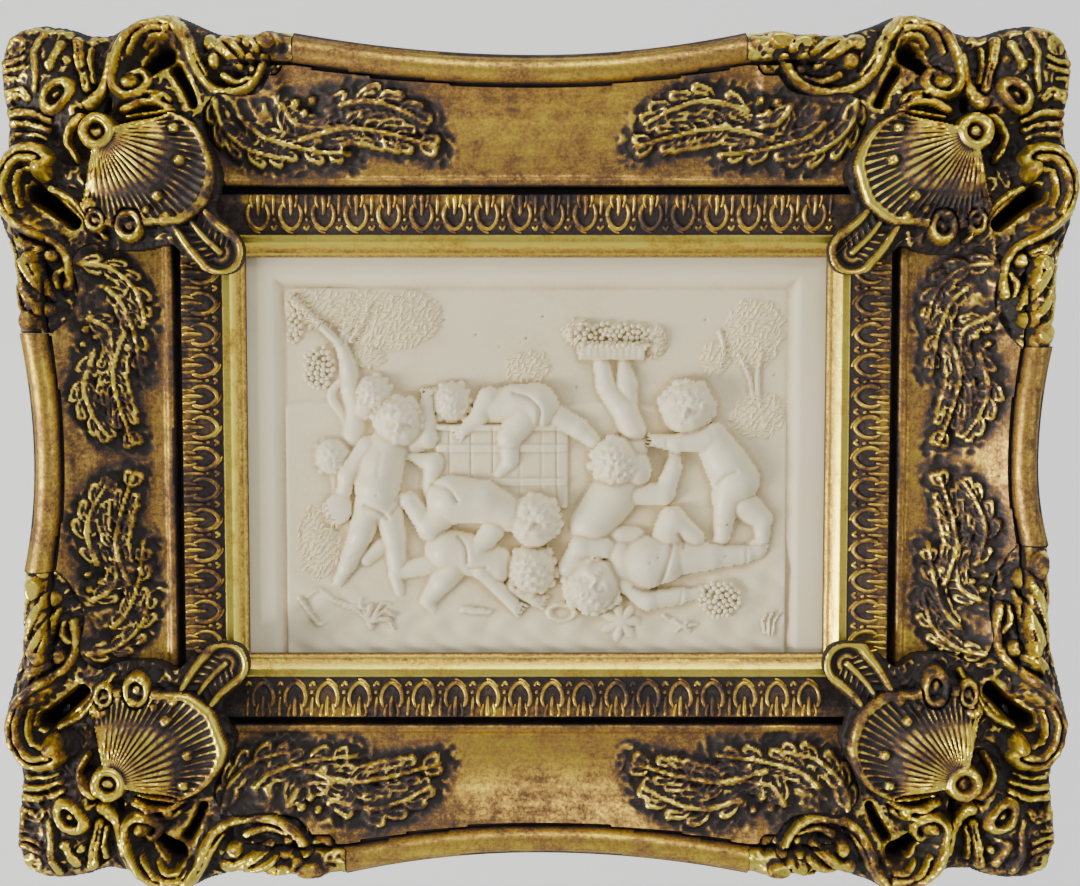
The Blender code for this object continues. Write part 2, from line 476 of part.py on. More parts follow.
FOLIAGE = (
    ((-41.0, 30.0), (12.0, 6.0), 1.3), ((-29.0, 27.0), (11.0, 6.6), 1.5), ((43.0, 24.0), (6.5, 6.5), 1.0),
    ((44.0, 8.0), (6.5, 4.5), 1.0), ((-43.6, -16.0), (4.0, 7.6), 1.2), ((-1.6, 18.0), (4.6, 3.0), 0.8),
    ((-42.0, -31.0), (6.0, 3.0), 1.2), ((-32.6, -31.4), (5.0, 2.6), 1.0), ((16.4, -33.0), (4.4, 3.2), 1.3),
    ((46.0, -33.0), (3.0, 3.0), 0.9), ((9.0, 26.4), (3.6, 2.6), 1.2), ((24.0, 24.6), (3.0, 3.0), 1.2),
)
BRANCHES = (
    (((-37.2, -14.0), (-40.0, -4.0), (-37.6, 6.0), (-36.6, 16.0), (-33.6, 28.0)), 1.4, 0.8, 1.2),
    (((-47.0, 31.0), (-42.0, 27.0), (-38.0, 22.0)), 0.8, 0.9, 1.8),
    (((45.0, 6.0), (43.6, 14.0), (44.6, 22.0)), 0.8, 0.5, 0.8),
)
GRAPES = (((-43.4, 17.6), (3.0, 4.4), 2.0), ((-47.6, 26.0), (2.0, 4.0), 1.6), ((36.6, -28.4), (5.0, 4.2), 2.4),
          ((14.8, 24.8), (9.0, 3.0), 2.6))
VAT = (-6.2, -3.0, 13.2, 9.0, 2.2)
BASKET = (15.2, 20.8, 7.4, 1.8, 2.4)
GROUND_LINE = ((-50.0, -25.0), (-30.0, -27.0), (-10.0, -31.0), (12.0, -31.0), (34.0, -24.0), (50.0, -19.0))


def limb(u, v, shape):
    """Height of one tapering round limb, in board units; far below the ground outside it."""
    u0, v0, r0, lift0, u1, v1, r1, lift1 = shape
    du, dv = u1 - u0, v1 - v0
    t = np.clip(((u - u0) * du + (v - v0) * dv) / (du * du + dv * dv), 0, 1)
    gap = np.hypot(u - u0 - t * du, v - v0 - t * dv)
    radius = r0 + (r1 - r0) * t
    lift = lift0 + (lift1 - lift0) * t
    return np.where(gap < radius, lift + RELIEF_FLATTENING * radius * round_over(gap, radius), -9.0)


def mound(u, v, middle, half, rise):
    """Height of a flat oval mound, in board units."""
    return rise * round_over(np.hypot((u - middle[0]) / half[0], (v - middle[1]) / half[1]), 1)


def relief_height(x, z):
    """Height of the cast: ground, plants, vat, basket, figures and the raised border."""
    u, v = x / RELIEF_UNIT, z / RELIEF_UNIT
    line = np.interp(u, [p[0] for p in GROUND_LINE], [p[1] for p in GROUND_LINE])
    height = 0.9 * smooth_step((line + 3 - v) / 6)
    for middle, half, rise in FOLIAGE:
        height = np.maximum(height, mound(u, v, middle, half, rise))
    for points, start, end, rise in BRANCHES:
        height = np.maximum(height, ridge(u, v, points, start, end, rise))
    um, vm, half_u, half_v, rise = VAT
    staves = (np.abs(u - um) < half_u) & (np.abs(v - vm) < half_v)
    hoops = 0.4 * ((np.abs(v - vm - 4.2) < 1.1) | (np.abs(v - vm + 1.6) < 0.9) | (v - vm > half_v - 1))
    vat = rise * (1 - 0.5 * ((u - um) / half_u) ** 2) + hoops
    height = np.where(staves, np.maximum(height, vat), height)
    um, vm, half_u, half_v, rise = BASKET
    height = np.where((np.abs(u - um) < half_u) & (np.abs(v - vm) < half_v), np.maximum(height, rise), height)
    for middle, half, rise in GRAPES:
        height = np.maximum(height, mound(u, v, middle, half, rise))
    for limbs in FIGURES.values():
        figure = np.full(u.shape, -9.0)
        for shape in limbs:
            figure = smooth_max(figure, limb(u, v, shape), LIMB_BLEND)
        height = np.maximum(height, figure)
    height = height * RELIEF_UNIT * RELIEF_DEPTH
    inside = np.minimum(OPENING_WIDTH / 2 - BORDER_WIDTH - np.abs(x), OPENING_HEIGHT / 2 - TOP_BORDER - z)
    border = BORDER_RISE * smooth_step(-inside / BORDER_COVE)
    return PLAQUE_GROUND + np.where(inside < 0, border, height)


# Meshes and objects
def thinned(mesh, faces):
    """Copy of an open mesh with about the given number of facets, kept where it is carved."""
    blank = bpy.data.objects.new(mesh.name, mesh)
    cutters.objects.link(blank)
    mesh.calc_loop_triangles()
    thinning = blank.modifiers.new("Facets", "DECIMATE")
    thinning.ratio = min(1.0, faces / len(mesh.loop_triangles))
    bpy.context.view_layer.update()
    evaluated = blank.evaluated_get(bpy.context.evaluated_depsgraph_get())
    result = bpy.data.meshes.new_from_object(evaluated)
    bpy.data.objects.remove(blank)
    return result


def slab(columns, rows, place, faces):
    """Closed mesh with a flat back and a carved front of about the given number of facets.

    place turns shares of the grid into x, z and height.
    """
    bm = bmesh.new()
    bmesh.ops.create_grid(bm, x_segments=columns, y_segments=rows, size=0.5)
    share = np.array([vert.co[:2] for vert in bm.verts]) + 0.5
    x, z, height = place(share[:, 0], share[:, 1])
    for vert, point in zip(bm.verts, np.stack([x, -height, z - HANG_HEIGHT], 1)):
        vert.co = point
    for _ in range(SOFTENING):
        bmesh.ops.smooth_vert(bm, verts=[v for v in bm.verts if not v.is_boundary], factor=0.5,
                              use_axis_x=False, use_axis_y=True, use_axis_z=False)
    front = bpy.data.meshes.new("front")
    bm.to_mesh(front)
    bm.clear()
    bm.from_mesh(thinned(front, faces))
    sides = bmesh.ops.extrude_edge_only(bm, edges=[e for e in bm.edges if e.is_boundary])
    for item in sides["geom"]:
        if isinstance(item, bmesh.types.BMVert):
            item.co.y = 0
    bmesh.ops.holes_fill(bm, edges=[e for e in bm.edges if e.is_boundary])
    bmesh.ops.recalc_face_normals(bm, faces=bm.faces)
    mesh = bpy.data.meshes.new("slab")
    bm.to_mesh(mesh)
    bm.free()
    return mesh


def add_object(name, mesh, collection, material=None):
    """Puts a mesh in the scene; a cutter has no material and stays out of renders."""
    thing = bpy.data.objects.new(name, mesh)
    mesh.name = name
    collection.objects.link(thing)
    if material:
        mesh.materials.append(material)
    else:
        thing.hide_render = True
        thing.display_type = "WIRE"
    return thing


def add_block(name, half_width, half_height, front):
    """Block cutter from just behind the back out to the given height."""
    bm = bmesh.new()
    bmesh.ops.create_cube(bm, size=1)
    depth = front + CUTTER_REACH
    for vert in bm.verts:
        vert.co = (vert.co.x * 2 * half_width, CUTTER_REACH + (vert.co.y - 0.5) * depth,
                   vert.co.z * 2 * half_height - HANG_HEIGHT)
    mesh = bpy.data.meshes.new(name)
    bm.to_mesh(mesh)
    bm.free()
    return add_object(name, mesh, cutters)


def add_prism(name, outline):
    """Cutter whose flat outline, in x and z, runs right through from back to front."""
    curve = bpy.data.curves.new(name, "CURVE")
    curve.dimensions = "2D"
    curve.fill_mode = "BOTH"
    curve.extrude = CUTTER_DEPTH
    spline = curve.splines.new("POLY")
    spline.points.add(len(outline) - 1)
    for point, (x, z) in zip(spline.points, outline):
        point.co = (x, z - HANG_HEIGHT, 0, 1)
    spline.use_cyclic_u = True
    guide = bpy.data.objects.new(name, curve)
    guide.rotation_euler = (math.pi / 2, 0, 0)
    cutters.objects.link(guide)
    bpy.context.view_layer.update()
    mesh = bpy.data.meshes.new_from_object(guide.evaluated_get(bpy.context.evaluated_depsgraph_get()))
    mesh.transform(guide.matrix_world)
    bpy.data.objects.remove(guide)
    bm = bmesh.new()
    bm.from_mesh(mesh)
    bmesh.ops.remove_doubles(bm, verts=bm.verts, dist=WELD)
    bmesh.ops.recalc_face_normals(bm, faces=bm.faces)
    bm.to_mesh(mesh)
    bm.free()
    return add_object(name, mesh, cutters)


def cut(thing, cutter, operation="DIFFERENCE"):
    """Adds a Boolean with a cutter."""
    modifier = thing.modifiers.new(cutter.name, "BOOLEAN")
    modifier.operation = operation
    modifier.object = cutter
    modifier.solver = "EXACT"
    modifier.use_self = True


def finish_material(name, colour, metallic, roughness):
    """Principled material of one colour."""
    material = bpy.data.materials.new(name)
    material.use_nodes = True
    shader = material.node_tree.nodes["Principled BSDF"]
    shader.inputs["Base Color"].default_value = (*colour, 1)
    shader.inputs["Metallic"].default_value = metallic
    shader.inputs["Roughness"].default_value = roughness
    return material


# Pieces
def build_plaque():
    """The cast relief, which laps behind the slips all round."""
    half_width = OPENING_WIDTH / 2 + PLAQUE_LAP
    half_height = OPENING_HEIGHT / 2 + PLAQUE_LAP

    def place(u, v):
        x, z = (2 * u - 1) * half_width, (2 * v - 1) * half_height
        return x, z, relief_height(x, z)

    mesh = slab(int(2 * half_width / PLAQUE_STEP), int(2 * half_height / PLAQUE_STEP), place,
                PLAQUE_FACES)
    add_object("relief_plaque", mesh, pieces, cast_stone)


def build_slips():
    """Four mitred slips, rebated behind for the plaque."""
    rebate = add_block("plaque_rebate", OPENING_WIDTH / 2 + PLAQUE_LAP + CLEARANCE,
                       OPENING_HEIGHT / 2 + PLAQUE_LAP + CLEARANCE,
                       PLAQUE_GROUND + BORDER_RISE + CLEARANCE)
    sides = (("slip_top", OPENING_WIDTH, OPENING_HEIGHT, 1, True),
             ("slip_bottom", OPENING_WIDTH, OPENING_HEIGHT, -1, True),
             ("slip_left", OPENING_HEIGHT, OPENING_WIDTH, -1, False),
             ("slip_right", OPENING_HEIGHT, OPENING_WIDTH, 1, False))
    for name, length, span, side, level in sides:
        def place(u, v):
            d = v * SLIP_WIDTH
            s = (2 * u - 1) * (length / 2 + d - CLEARANCE * math.sqrt(0.5))
            out = side * (span / 2 + d)
            height = slip_height(d) + leaf_strip(s, d, length)
            return (s, out, height) if level else (out, s, height)

        mesh = slab(int(length / RAIL_STEP), int(SLIP_WIDTH / RAIL_STEP * 1.5), place,
                    LONG_SLIP_FACES if level else SHORT_SLIP_FACES)
        cut(add_object(name, mesh, pieces, gilding), rebate)


def corner_outline(side_x, side_z, top_end, side_end, gap=0.0):
    """Outline of a corner casting in x and z, grown by a gap."""
    board = np.concatenate([smooth_curve(points, OUTLINE_STEPS) for points in (CORNER_OUTER, CORNER_INNER)])
    board = np.stack(arm_warp(*board.T, *arm_scales(top_end, side_end)), 1)
    run = np.roll(board, -1, 0) - np.roll(board, 1, 0)
    normal = np.stack([-run[:, 1], run[:, 0]], 1) / np.hypot(*run.T)[:, None]
    x, z = (board * (ACROSS_UNIT, UP_UNIT) + normal * gap).T
    return np.stack([side_x * (OPENING_WIDTH / 2 + x), side_z * (OPENING_HEIGHT / 2 + z)], 1)


def build_corners():
    """Four cast corners, cut to their outline and standing clear of the slips below them."""
    slip_room = add_block("slip_room", OPENING_WIDTH / 2 + RAIL_START, OPENING_HEIGHT / 2 + RAIL_START,
                          LEAF_CLEARANCE)
    rounded = smooth_curve(CORNER_OUTER)
    whole = np.concatenate([rounded, smooth_curve(CORNER_INNER)])
    for name, (side_x, side_z, top_end, side_end, pierced) in CORNERS.items():
        def place(u, v):
            a = top_end - 1 + u * (BOARD_REACH - top_end)
            b = side_end - 1 + v * (BOARD_REACH - side_end)
            top_scale, side_scale = arm_scales(top_end, side_end)
            height = corner_height(*arm_warp(a, b, 1 / top_scale, 1 / side_scale), rounded, whole)
            x = side_x * (OPENING_WIDTH / 2 + a * ACROSS_UNIT)
            z = side_z * (OPENING_HEIGHT / 2 + b * UP_UNIT)
            return x, z, height

        columns = int((BOARD_REACH - top_end) * CORNER_UNIT / CARVING_STEP)
        rows = int((BOARD_REACH - side_end) * CORNER_UNIT / CARVING_STEP)
        casting = add_object(name, slab(columns, rows, place, CORNER_FACES), pieces, dark_gilding)
        shape = (side_x, side_z, top_end, side_end)
        cut(casting, slip_room)
        if pierced:
            bm = bmesh.new()
            bmesh.ops.create_cone(bm, cap_ends=True, segments=PIERCING_SIDES, radius1=PIERCING_RADIUS,
                                  radius2=PIERCING_RADIUS, depth=2 * CUTTER_DEPTH)
            mesh = bpy.data.meshes.new(name)
            bm.to_mesh(mesh)
            bm.free()
            hole = add_object(name + "_piercing", mesh, cutters)
            hole.rotation_euler.x = math.pi / 2
            hole.location = (side_x * (OPENING_WIDTH / 2 + PIERCING[0] * ACROSS_UNIT), 0,
                             side_z * (OPENING_HEIGHT / 2 + PIERCING[1] * UP_UNIT) - HANG_HEIGHT)
            cut(casting, hole)
        cut(casting, add_prism(name + "_outline", corner_outline(*shape)), "INTERSECT")
        add_prism(name + "_room", corner_outline(*shape, CLEARANCE))


def build_rails():
    """Four rails, each cut at both ends to the outlines of the corner castings."""
    tuck = RAIL_TUCK * CORNER_UNIT
    sides = (("top_rail", OPENING_WIDTH, OPENING_HEIGHT, 1, True),
             ("bottom_rail", OPENING_WIDTH, OPENING_HEIGHT, -1, True),
             ("left_rail", OPENING_HEIGHT, OPENING_WIDTH, -1, False),
             ("right_rail", OPENING_HEIGHT, OPENING_WIDTH, 1, False))
    for name, length, span, side, level in sides:
        width, sweep = (LONG_RAIL_WIDTH, LONG_RAIL_SWEEP) if level else (SHORT_RAIL_WIDTH, SHORT_RAIL_SWEEP)
        arm_unit = ACROSS_UNIT if level else UP_UNIT
        start, end = (LONG_SPRAY_START, LONG_SPRAY_END) if level else (SHORT_SPRAY_START, SHORT_SPRAY_END)
        ends = {}
        for corner, (side_x, side_z, top_end, side_end, _) in CORNERS.items():
            across, along, arm = (side_z, side_x, top_end) if level else (side_x, side_z, side_end)
            if across == side:
                ends[along] = (corner, length / 2 + arm * arm_unit)

        def place(u, v):
            s = (2 * u - 1) * (length / 2 + tuck)
            outer = rail_outer(s, np.where(s < 0, ends[-1][1], ends[1][1]), width, sweep)
            d = RAIL_START + v * (outer - RAIL_START)
            height = rail_height(d, outer) + spray(s, d, outer, start, end)
            out = side * (span / 2 + d)
            return (s, out, height) if level else (out, s, height)

        mesh = slab(int((length + 2 * tuck) / RAIL_STEP), int(width / RAIL_STEP * 1.4), place,
                    LONG_RAIL_FACES if level else SHORT_RAIL_FACES)
        rail = add_object(name, mesh, pieces, gilding)
        for corner, _ in ends.values():
            cut(rail, bpy.data.objects[corner + "_room"])


for old in list(bpy.data.objects):
    bpy.data.objects.remove(old)
pieces = bpy.data.collections.new("relief plaque")
cutters = bpy.data.collections.new("cutters")
bpy.context.scene.collection.children.link(pieces)
bpy.context.scene.collection.children.link(cutters)
gilding = finish_material("aged gilding", (0.42, 0.26, 0.07), 0.75, 0.42)
dark_gilding = finish_material("dark gilding", (0.24, 0.15, 0.05), 0.7, 0.45)
cast_stone = finish_material("cast stone", (0.74, 0.70, 0.62), 0.0, 0.55)
build_plaque()
build_slips()
build_corners()
build_rails()
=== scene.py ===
# %% [markdown]
# # A cast relief in a swept gilt frame
#
# The real object is an off-white cast relief of children at the grape harvest. It is held in a
# swept frame of wood, with a mitred slip round the picture and a cast cartouche on each corner.
# Every surface of it is low carving that is seen from the front, so each piece could be sculpted,
# displaced by a texture or drawn as a surface. Here it is drawn as a surface: heights above the
# back are worked out from strokes, beads and limbs, because those can be measured and changed.

import math

import bpy
import numpy as np
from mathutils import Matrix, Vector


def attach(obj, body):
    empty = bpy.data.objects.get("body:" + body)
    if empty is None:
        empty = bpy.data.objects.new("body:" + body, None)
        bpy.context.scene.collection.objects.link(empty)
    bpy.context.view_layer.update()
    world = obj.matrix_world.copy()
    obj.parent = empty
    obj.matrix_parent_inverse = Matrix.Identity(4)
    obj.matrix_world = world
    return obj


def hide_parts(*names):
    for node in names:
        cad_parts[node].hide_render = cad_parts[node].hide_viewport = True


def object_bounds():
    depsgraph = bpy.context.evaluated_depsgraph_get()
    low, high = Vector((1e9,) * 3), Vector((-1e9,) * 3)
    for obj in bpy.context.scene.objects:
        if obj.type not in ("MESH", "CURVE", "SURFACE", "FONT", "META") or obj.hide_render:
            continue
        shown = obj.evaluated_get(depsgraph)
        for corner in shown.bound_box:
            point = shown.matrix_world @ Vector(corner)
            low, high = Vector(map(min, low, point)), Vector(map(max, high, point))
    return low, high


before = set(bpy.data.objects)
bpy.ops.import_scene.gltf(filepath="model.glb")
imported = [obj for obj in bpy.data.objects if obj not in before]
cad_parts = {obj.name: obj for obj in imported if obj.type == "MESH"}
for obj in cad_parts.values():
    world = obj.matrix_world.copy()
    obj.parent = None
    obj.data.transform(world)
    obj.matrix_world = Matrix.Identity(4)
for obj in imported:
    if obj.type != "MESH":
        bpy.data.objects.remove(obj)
frame_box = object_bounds()
print("frame from", [round(v, 4) for v in frame_box[0]], "to", [round(v, 4) for v in frame_box[1]])

# %% [markdown]
# ## Sizes
#
# A frame maker works outwards from the sight, which is the opening that the picture shows through.
# The slip, the rails and the castings are each set out as distances from it. These are the sizes of
# the solid pieces in the frame, in metres, so everything made below lands on them.

# %% Sizes of the opening, the slip, the rails and the castings
MM = 0.001
OPENING_WIDTH = 166.5 * MM
OPENING_HEIGHT = 114.5 * MM
CLEARANCE = 0.3 * MM
SEAM = 0.05 * MM

SIGHT_BEVEL = 4.8 * MM
SIGHT_FILLET = 1.2 * MM
LEAF_STRIP = 11.5 * MM
CHANNEL_WIDTH = 1.9 * MM
SIGHT_HEIGHT = 9.4 * MM
SIGHT_FILLET_HEIGHT = 12.4 * MM
LEAF_STRIP_HEIGHT = 15.0 * MM
CHANNEL_HEIGHT = 8.0 * MM
LEAF_PITCH = 9.0 * MM
LEAF_RELIEF = 0.8 * MM

LONG_RAIL_WIDTH = 36.0 * MM
SHORT_RAIL_WIDTH = 38.8 * MM
LONG_RAIL_SWEEP = 6.0 * MM
SHORT_RAIL_SWEEP = 3.4 * MM
INNER_FILLET = 2.6 * MM
INNER_FILLET_HEIGHT = 14.2 * MM
COVE_FOOT_HEIGHT = 13.2 * MM
COVE_TOP_HEIGHT = 24.0 * MM
RIM_GROOVE = 0.9 * MM
RIM_GROOVE_DEPTH = 1.6 * MM
RIM_WIDTH = 6.6 * MM
RIM_RISE = 3.2 * MM
SIDE_WIDTH = 2.2 * MM
SIDE_DROP = 9.0 * MM
SPRAY_RISE = 2.6 * MM
LONG_SPRAY = (28.0 * MM, 89.0 * MM)
SHORT_SPRAY = (4.0 * MM, 55.0 * MM)

CORNER_REACH = 70.4 * MM
CORNER_BODY_HEIGHT = 21.0 * MM
CORNER_EDGE_ROUND = 3.0 * MM
CORNER_EDGE_DROP = 7.0 * MM
SHELL_HEIGHT = 24.5 * MM
SHELL_DOME = 4.5 * MM
TONGUE_HEIGHT = 21.5 * MM
TONGUE_CLEARANCE = 0.8 * MM
PIERCING_RADIUS = 1.3 * MM

PLAQUE_LAP = 4.0 * MM
PLAQUE_GROUND = 5.2 * MM
BORDER_WIDTH = 10.9 * MM
TOP_BORDER = 9.0 * MM
BORDER_RISE = 1.8 * MM
BORDER_COVE = 4.0 * MM
RELIEF_DEPTH = 0.90

SLIP_WIDTH = SIGHT_BEVEL + SIGHT_FILLET + LEAF_STRIP + CHANNEL_WIDTH
RAIL_START = SLIP_WIDTH + CLEARANCE
LEAF_CLEARANCE = LEAF_STRIP_HEIGHT + LEAF_RELIEF + TONGUE_CLEARANCE
CORNER_UNIT = CORNER_REACH / 50
RELIEF_UNIT = (OPENING_WIDTH - 2 * BORDER_WIDTH) / 99
HANG_HEIGHT = OPENING_HEIGHT / 2 + RAIL_START + LONG_RAIL_WIDTH / 2
print("one unit of the corner drawing is", round(CORNER_UNIT / MM, 3), "mm, of the relief",
      round(RELIEF_UNIT / MM, 3), "mm")

# %% [markdown]
# ## Camera, floor and light
#
# The photograph looks almost straight at the frame from half a metre, with soft daylight from the
# lower left. A far, pale sheet stands in for the room, and one large lamp with two weak ones
# gives the gold something broad to mirror. Small hard lamps would turn it into sparks.

# %% Camera
VIEW_DISTANCE = 0.5
VIEW_TILT = math.radians(4.0)
LENS = 56.8
LENS_SHIFT = (0.0035, 0.011)
OPENING_MIDDLE = np.array([0.0, 0.0, -HANG_HEIGHT])


def linked(name, data):
    """New object that shows in the scene."""
    thing = bpy.data.objects.new(name, data)
    bpy.context.collection.objects.link(thing)
    return thing


camera_data = bpy.data.cameras.new("camera")
camera_data.lens = LENS
camera_data.shift_x, camera_data.shift_y = LENS_SHIFT
camera = linked("camera", camera_data)
camera.location = (0.0, -VIEW_DISTANCE * math.cos(VIEW_TILT),
                   -HANG_HEIGHT + VIEW_DISTANCE * math.sin(VIEW_TILT))
camera.rotation_euler = (math.pi / 2 - VIEW_TILT, 0, 0)
bpy.context.scene.camera = camera
print("camera at", [round(v, 3) for v in camera.location])


# %% Floor, world and lamps
def add_lamp(name, place, aim, size, power, colour):
    """Square area lamp that faces a point."""
    data = bpy.data.lights.new(name, "AREA")
    data.shape = "SQUARE"
    data.size = size
    data.energy = power
    data.color = colour
    lamp = linked(name, data)
    lamp.location = place
    away = np.array(place) - np.array(aim)
    lamp.rotation_euler = (math.atan2(math.hypot(away[0], away[1]), away[2]), 0,
                           math.atan2(away[0], -away[1]))


def add_surface(name, half_width, near, far):
    """Flat surface between a near and a far edge, each given by its y and z."""
    mesh = bpy.data.meshes.new(name)
    mesh.from_pydata([(-half_width, *near), (half_width, *near), (half_width, *far), (-half_width, *far)],
                     [], [(0, 1, 2, 3)])
    return linked(name, mesh)


FLOOR_DROP = 0.62
FLOOR_HALF = 4.0
SHEET_GAP = 1.1
SHEET_HALF = 1.5
floor = add_surface("floor", FLOOR_HALF, (-FLOOR_HALF, -FLOOR_DROP), (FLOOR_HALF, -FLOOR_DROP))
sheet = add_surface("sheet", SHEET_HALF, (SHEET_GAP, -FLOOR_DROP), (SHEET_GAP, SHEET_HALF))

world = bpy.data.worlds.new("room")
world.use_nodes = True
world.node_tree.nodes["Background"].inputs["Color"].default_value = (0.82, 0.83, 0.84, 1)
world.node_tree.nodes["Background"].inputs["Strength"].default_value = 0.40
bpy.context.scene.world = world
add_lamp("window", (-1.15, -0.60, -0.62), OPENING_MIDDLE, 0.55, 40.0, (1.0, 0.97, 0.90))
add_lamp("ceiling", (0.1, -0.6, 0.75), OPENING_MIDDLE, 0.5, 4.0, (1.0, 0.97, 0.92))
add_lamp("fill", (0.95, -0.8, -0.1), OPENING_MIDDLE, 0.6, 2.0, (0.93, 0.96, 1.0))


# %% [markdown]
# ## Strokes
#
# A carver cuts a leaf or a scroll as one run of the gouge that swells and tapers. The helpers below
# do the same: a smooth curve through a few points, a half width at each end, and a rise. Working
# only near the stroke keeps a grid of a hundred thousand points quick.

# %% Curves, steps and strokes
def smooth_curve(points, steps=5):
    """Points along a Catmull-Rom curve through the given ones."""
    p = np.array(points, float)
    last = len(p) - 1
    t = (np.arange(steps) / steps)[:, None]
    curve = []
    for i in range(last):
        a, b, c, d = (p[min(max(i + k, 0), last)] for k in (-1, 0, 1, 2))
        curve.append(0.5 * (2 * b + (c - a) * t + (2 * a - 5 * b + 4 * c - d) * t ** 2
                            + (3 * b - a - 3 * c + d) * t ** 3))
    return np.concatenate(curve + [p[-1:]])


def along_line(x, z, line):
    """Distance of each point from a line of points, and how far along the nearest place is."""
    best = np.full(x.shape, np.inf)
    share = np.zeros(x.shape)
    for i in range(len(line) - 1):
        (ax, az), (bx, bz) = line[i], line[i + 1]
        dx, dz = bx - ax, bz - az
        length = dx * dx + dz * dz + 1e-12
        t = np.clip(((x - ax) * dx + (z - az) * dz) / length, 0, 1)
        gap = np.hypot(x - ax - t * dx, z - az - t * dz)
        nearer = gap < best
        best = np.where(nearer, gap, best)
        share = np.where(nearer, (i + t) / (len(line) - 1), share)
    return best, share


def smooth_step(t):
    """Rises gently from 0 to 1 as t does."""
    t = np.clip(t, 0, 1)
    return t * t * (3 - 2 * t)


def smooth_max(a, b, blend):
    """The higher of two surfaces, with a soft hollow of the given size where they meet."""
    mix = np.clip(0.5 + 0.5 * (a - b) / blend, 0, 1)
    return b + (a - b) * mix + blend * mix * (1 - mix)


def round_over(gap, half_width):
    """Height share of a half-round ridge at a distance from its middle line."""
    return np.sqrt(np.clip(1 - (gap / half_width) ** 2, 0, 1))


def pillow(gap, half_width):
    """Height share of a soft swelling, which runs out flat at its edge."""
    return np.clip(1 - (gap / half_width) ** 2, 0, 1) ** 2


def stroke(x, z, points, start, end, rise, groove=0.0, profile=round_over):
    """Rise of a ridge along a curve, tapering from one half width to the other.

    groove is the share of the rise that is taken out along its middle line.
    """
    line = smooth_curve(points)
    reach = max(start, end)
    (left, low), (right, high) = line.min(0) - reach, line.max(0) + reach
    near = (x > left) & (x < right) & (z > low) & (z < high)
    result = np.zeros(x.shape)
    if near.any():
        gap, share = along_line(x[near], z[near], line)
        width = start + (end - start) * share
        result[near] = rise * profile(gap, width) * (1 - groove * np.exp(-(3.2 * gap / width) ** 2))
    return result


def bead(x, z, place, radius, rise, profile=round_over):
    """Rise of a round bead."""
    return rise * profile(np.hypot(x - place[0], z - place[1]), radius)


# %% [markdown]
# ## From heights to a solid piece
#
# Each piece is a slab: a fine grid in front that carries the carving, plain sides, and a flat back.
# Where a piece has an outline of its own it is then trimmed with a plain cutter. Beside the heights,
# every point keeps how far it stands out from its surroundings, which later decides where the gold
# is bright and where old dirt lies on it, and on the cast where painted shade darkens the hollows and
# a painted highlight lightens the high places, and where it sits along its rail, for streaks that
# follow it.

# %% Slabs, cutters and trimming
def soften(field, reach, rounds=3):
    """Field averaged over its neighbours, which leaves only its broad shape."""
    for _ in range(rounds):
        for axis in (0, 1):
            pad = [(0, 0), (0, 0)]
            pad[axis] = (reach + 1, reach)
            total = np.cumsum(np.pad(field, pad, mode="edge"), axis)
            size = field.shape[axis]
            field = (np.take(total, range(2 * reach + 1, 2 * reach + 1 + size), axis)
                     - np.take(total, range(size), axis)) / (2 * reach + 1)
    return field


def tooling(shape, step, seed):
    """Small meandering ridges between soft hollows, which fill the ground of an old casting."""
    random = np.random.default_rng(seed)
    total = np.zeros(shape)
    for size, part in ((0.9 * MM, 0.45), (2.2 * MM, 0.75)):
        field = soften(random.standard_normal(shape), max(1, round(size / step / 2)))
        total = total + part * (1 - np.abs(field / field.std()))
    return total


def grid_cells(rows, columns):
    """Number of each point of a grid, and the four corners of each of its cells."""
    index = np.arange(rows * columns).reshape(rows, columns)
    cells = np.stack([index[:-1, :-1], index[:-1, 1:], index[1:, 1:], index[1:, :-1]], -1)
    return index, cells.reshape(-1, 4)


def carved_slab(name, x, z, height, fields):
    """Mesh of a slab whose front has the given heights, with a value per point for each field."""
    rows_level = abs(x[0, -1] - x[0, 0]) > abs(x[-1, 0] - x[0, 0])
    if ((x[-1, -1] - x[0, 0]) * (z[-1, -1] - z[0, 0]) > 0) != rows_level:
        x, z, height = x[:, ::-1], z[:, ::-1], height[:, ::-1]
        fields = {key: field[:, ::-1] for key, field in fields.items()}
    index, cells = grid_cells(*x.shape)
    rim = np.concatenate([index[0, :-1], index[:-1, -1], index[-1, :0:-1], index[:0:-1, 0]])
    front = np.stack([x, -height, z - HANG_HEIGHT], -1).reshape(-1, 3)
    points = np.concatenate([front, front[rim] * (1, 0, 1)])
    back = index.size + np.arange(len(rim))
    sides = np.stack([rim, back, np.roll(back, -1), np.roll(rim, -1)], -1)
    corners = np.concatenate([cells.ravel(), sides.ravel(), back[::-1]])
    starts = 4 * np.arange(len(cells) + len(sides) + 1)
    mesh = bpy.data.meshes.new(name)
    mesh.vertices.add(len(points))
    mesh.vertices.foreach_set("co", points.ravel())
    mesh.loops.add(len(corners))
    mesh.loops.foreach_set("vertex_index", corners)
    mesh.polygons.add(len(starts))
    mesh.polygons.foreach_set("loop_start", starts)
    mesh.update(calc_edges=True)
    for key, field in fields.items():
        flat = field.reshape(index.size, -1)
        flat = np.concatenate([flat, flat[rim]])
        kind, slot = ("FLOAT", "value") if flat.shape[1] == 1 else ("FLOAT_VECTOR", "vector")
        mesh.attributes.new(key, kind, "POINT").data.foreach_set(slot, flat.ravel())
    return mesh


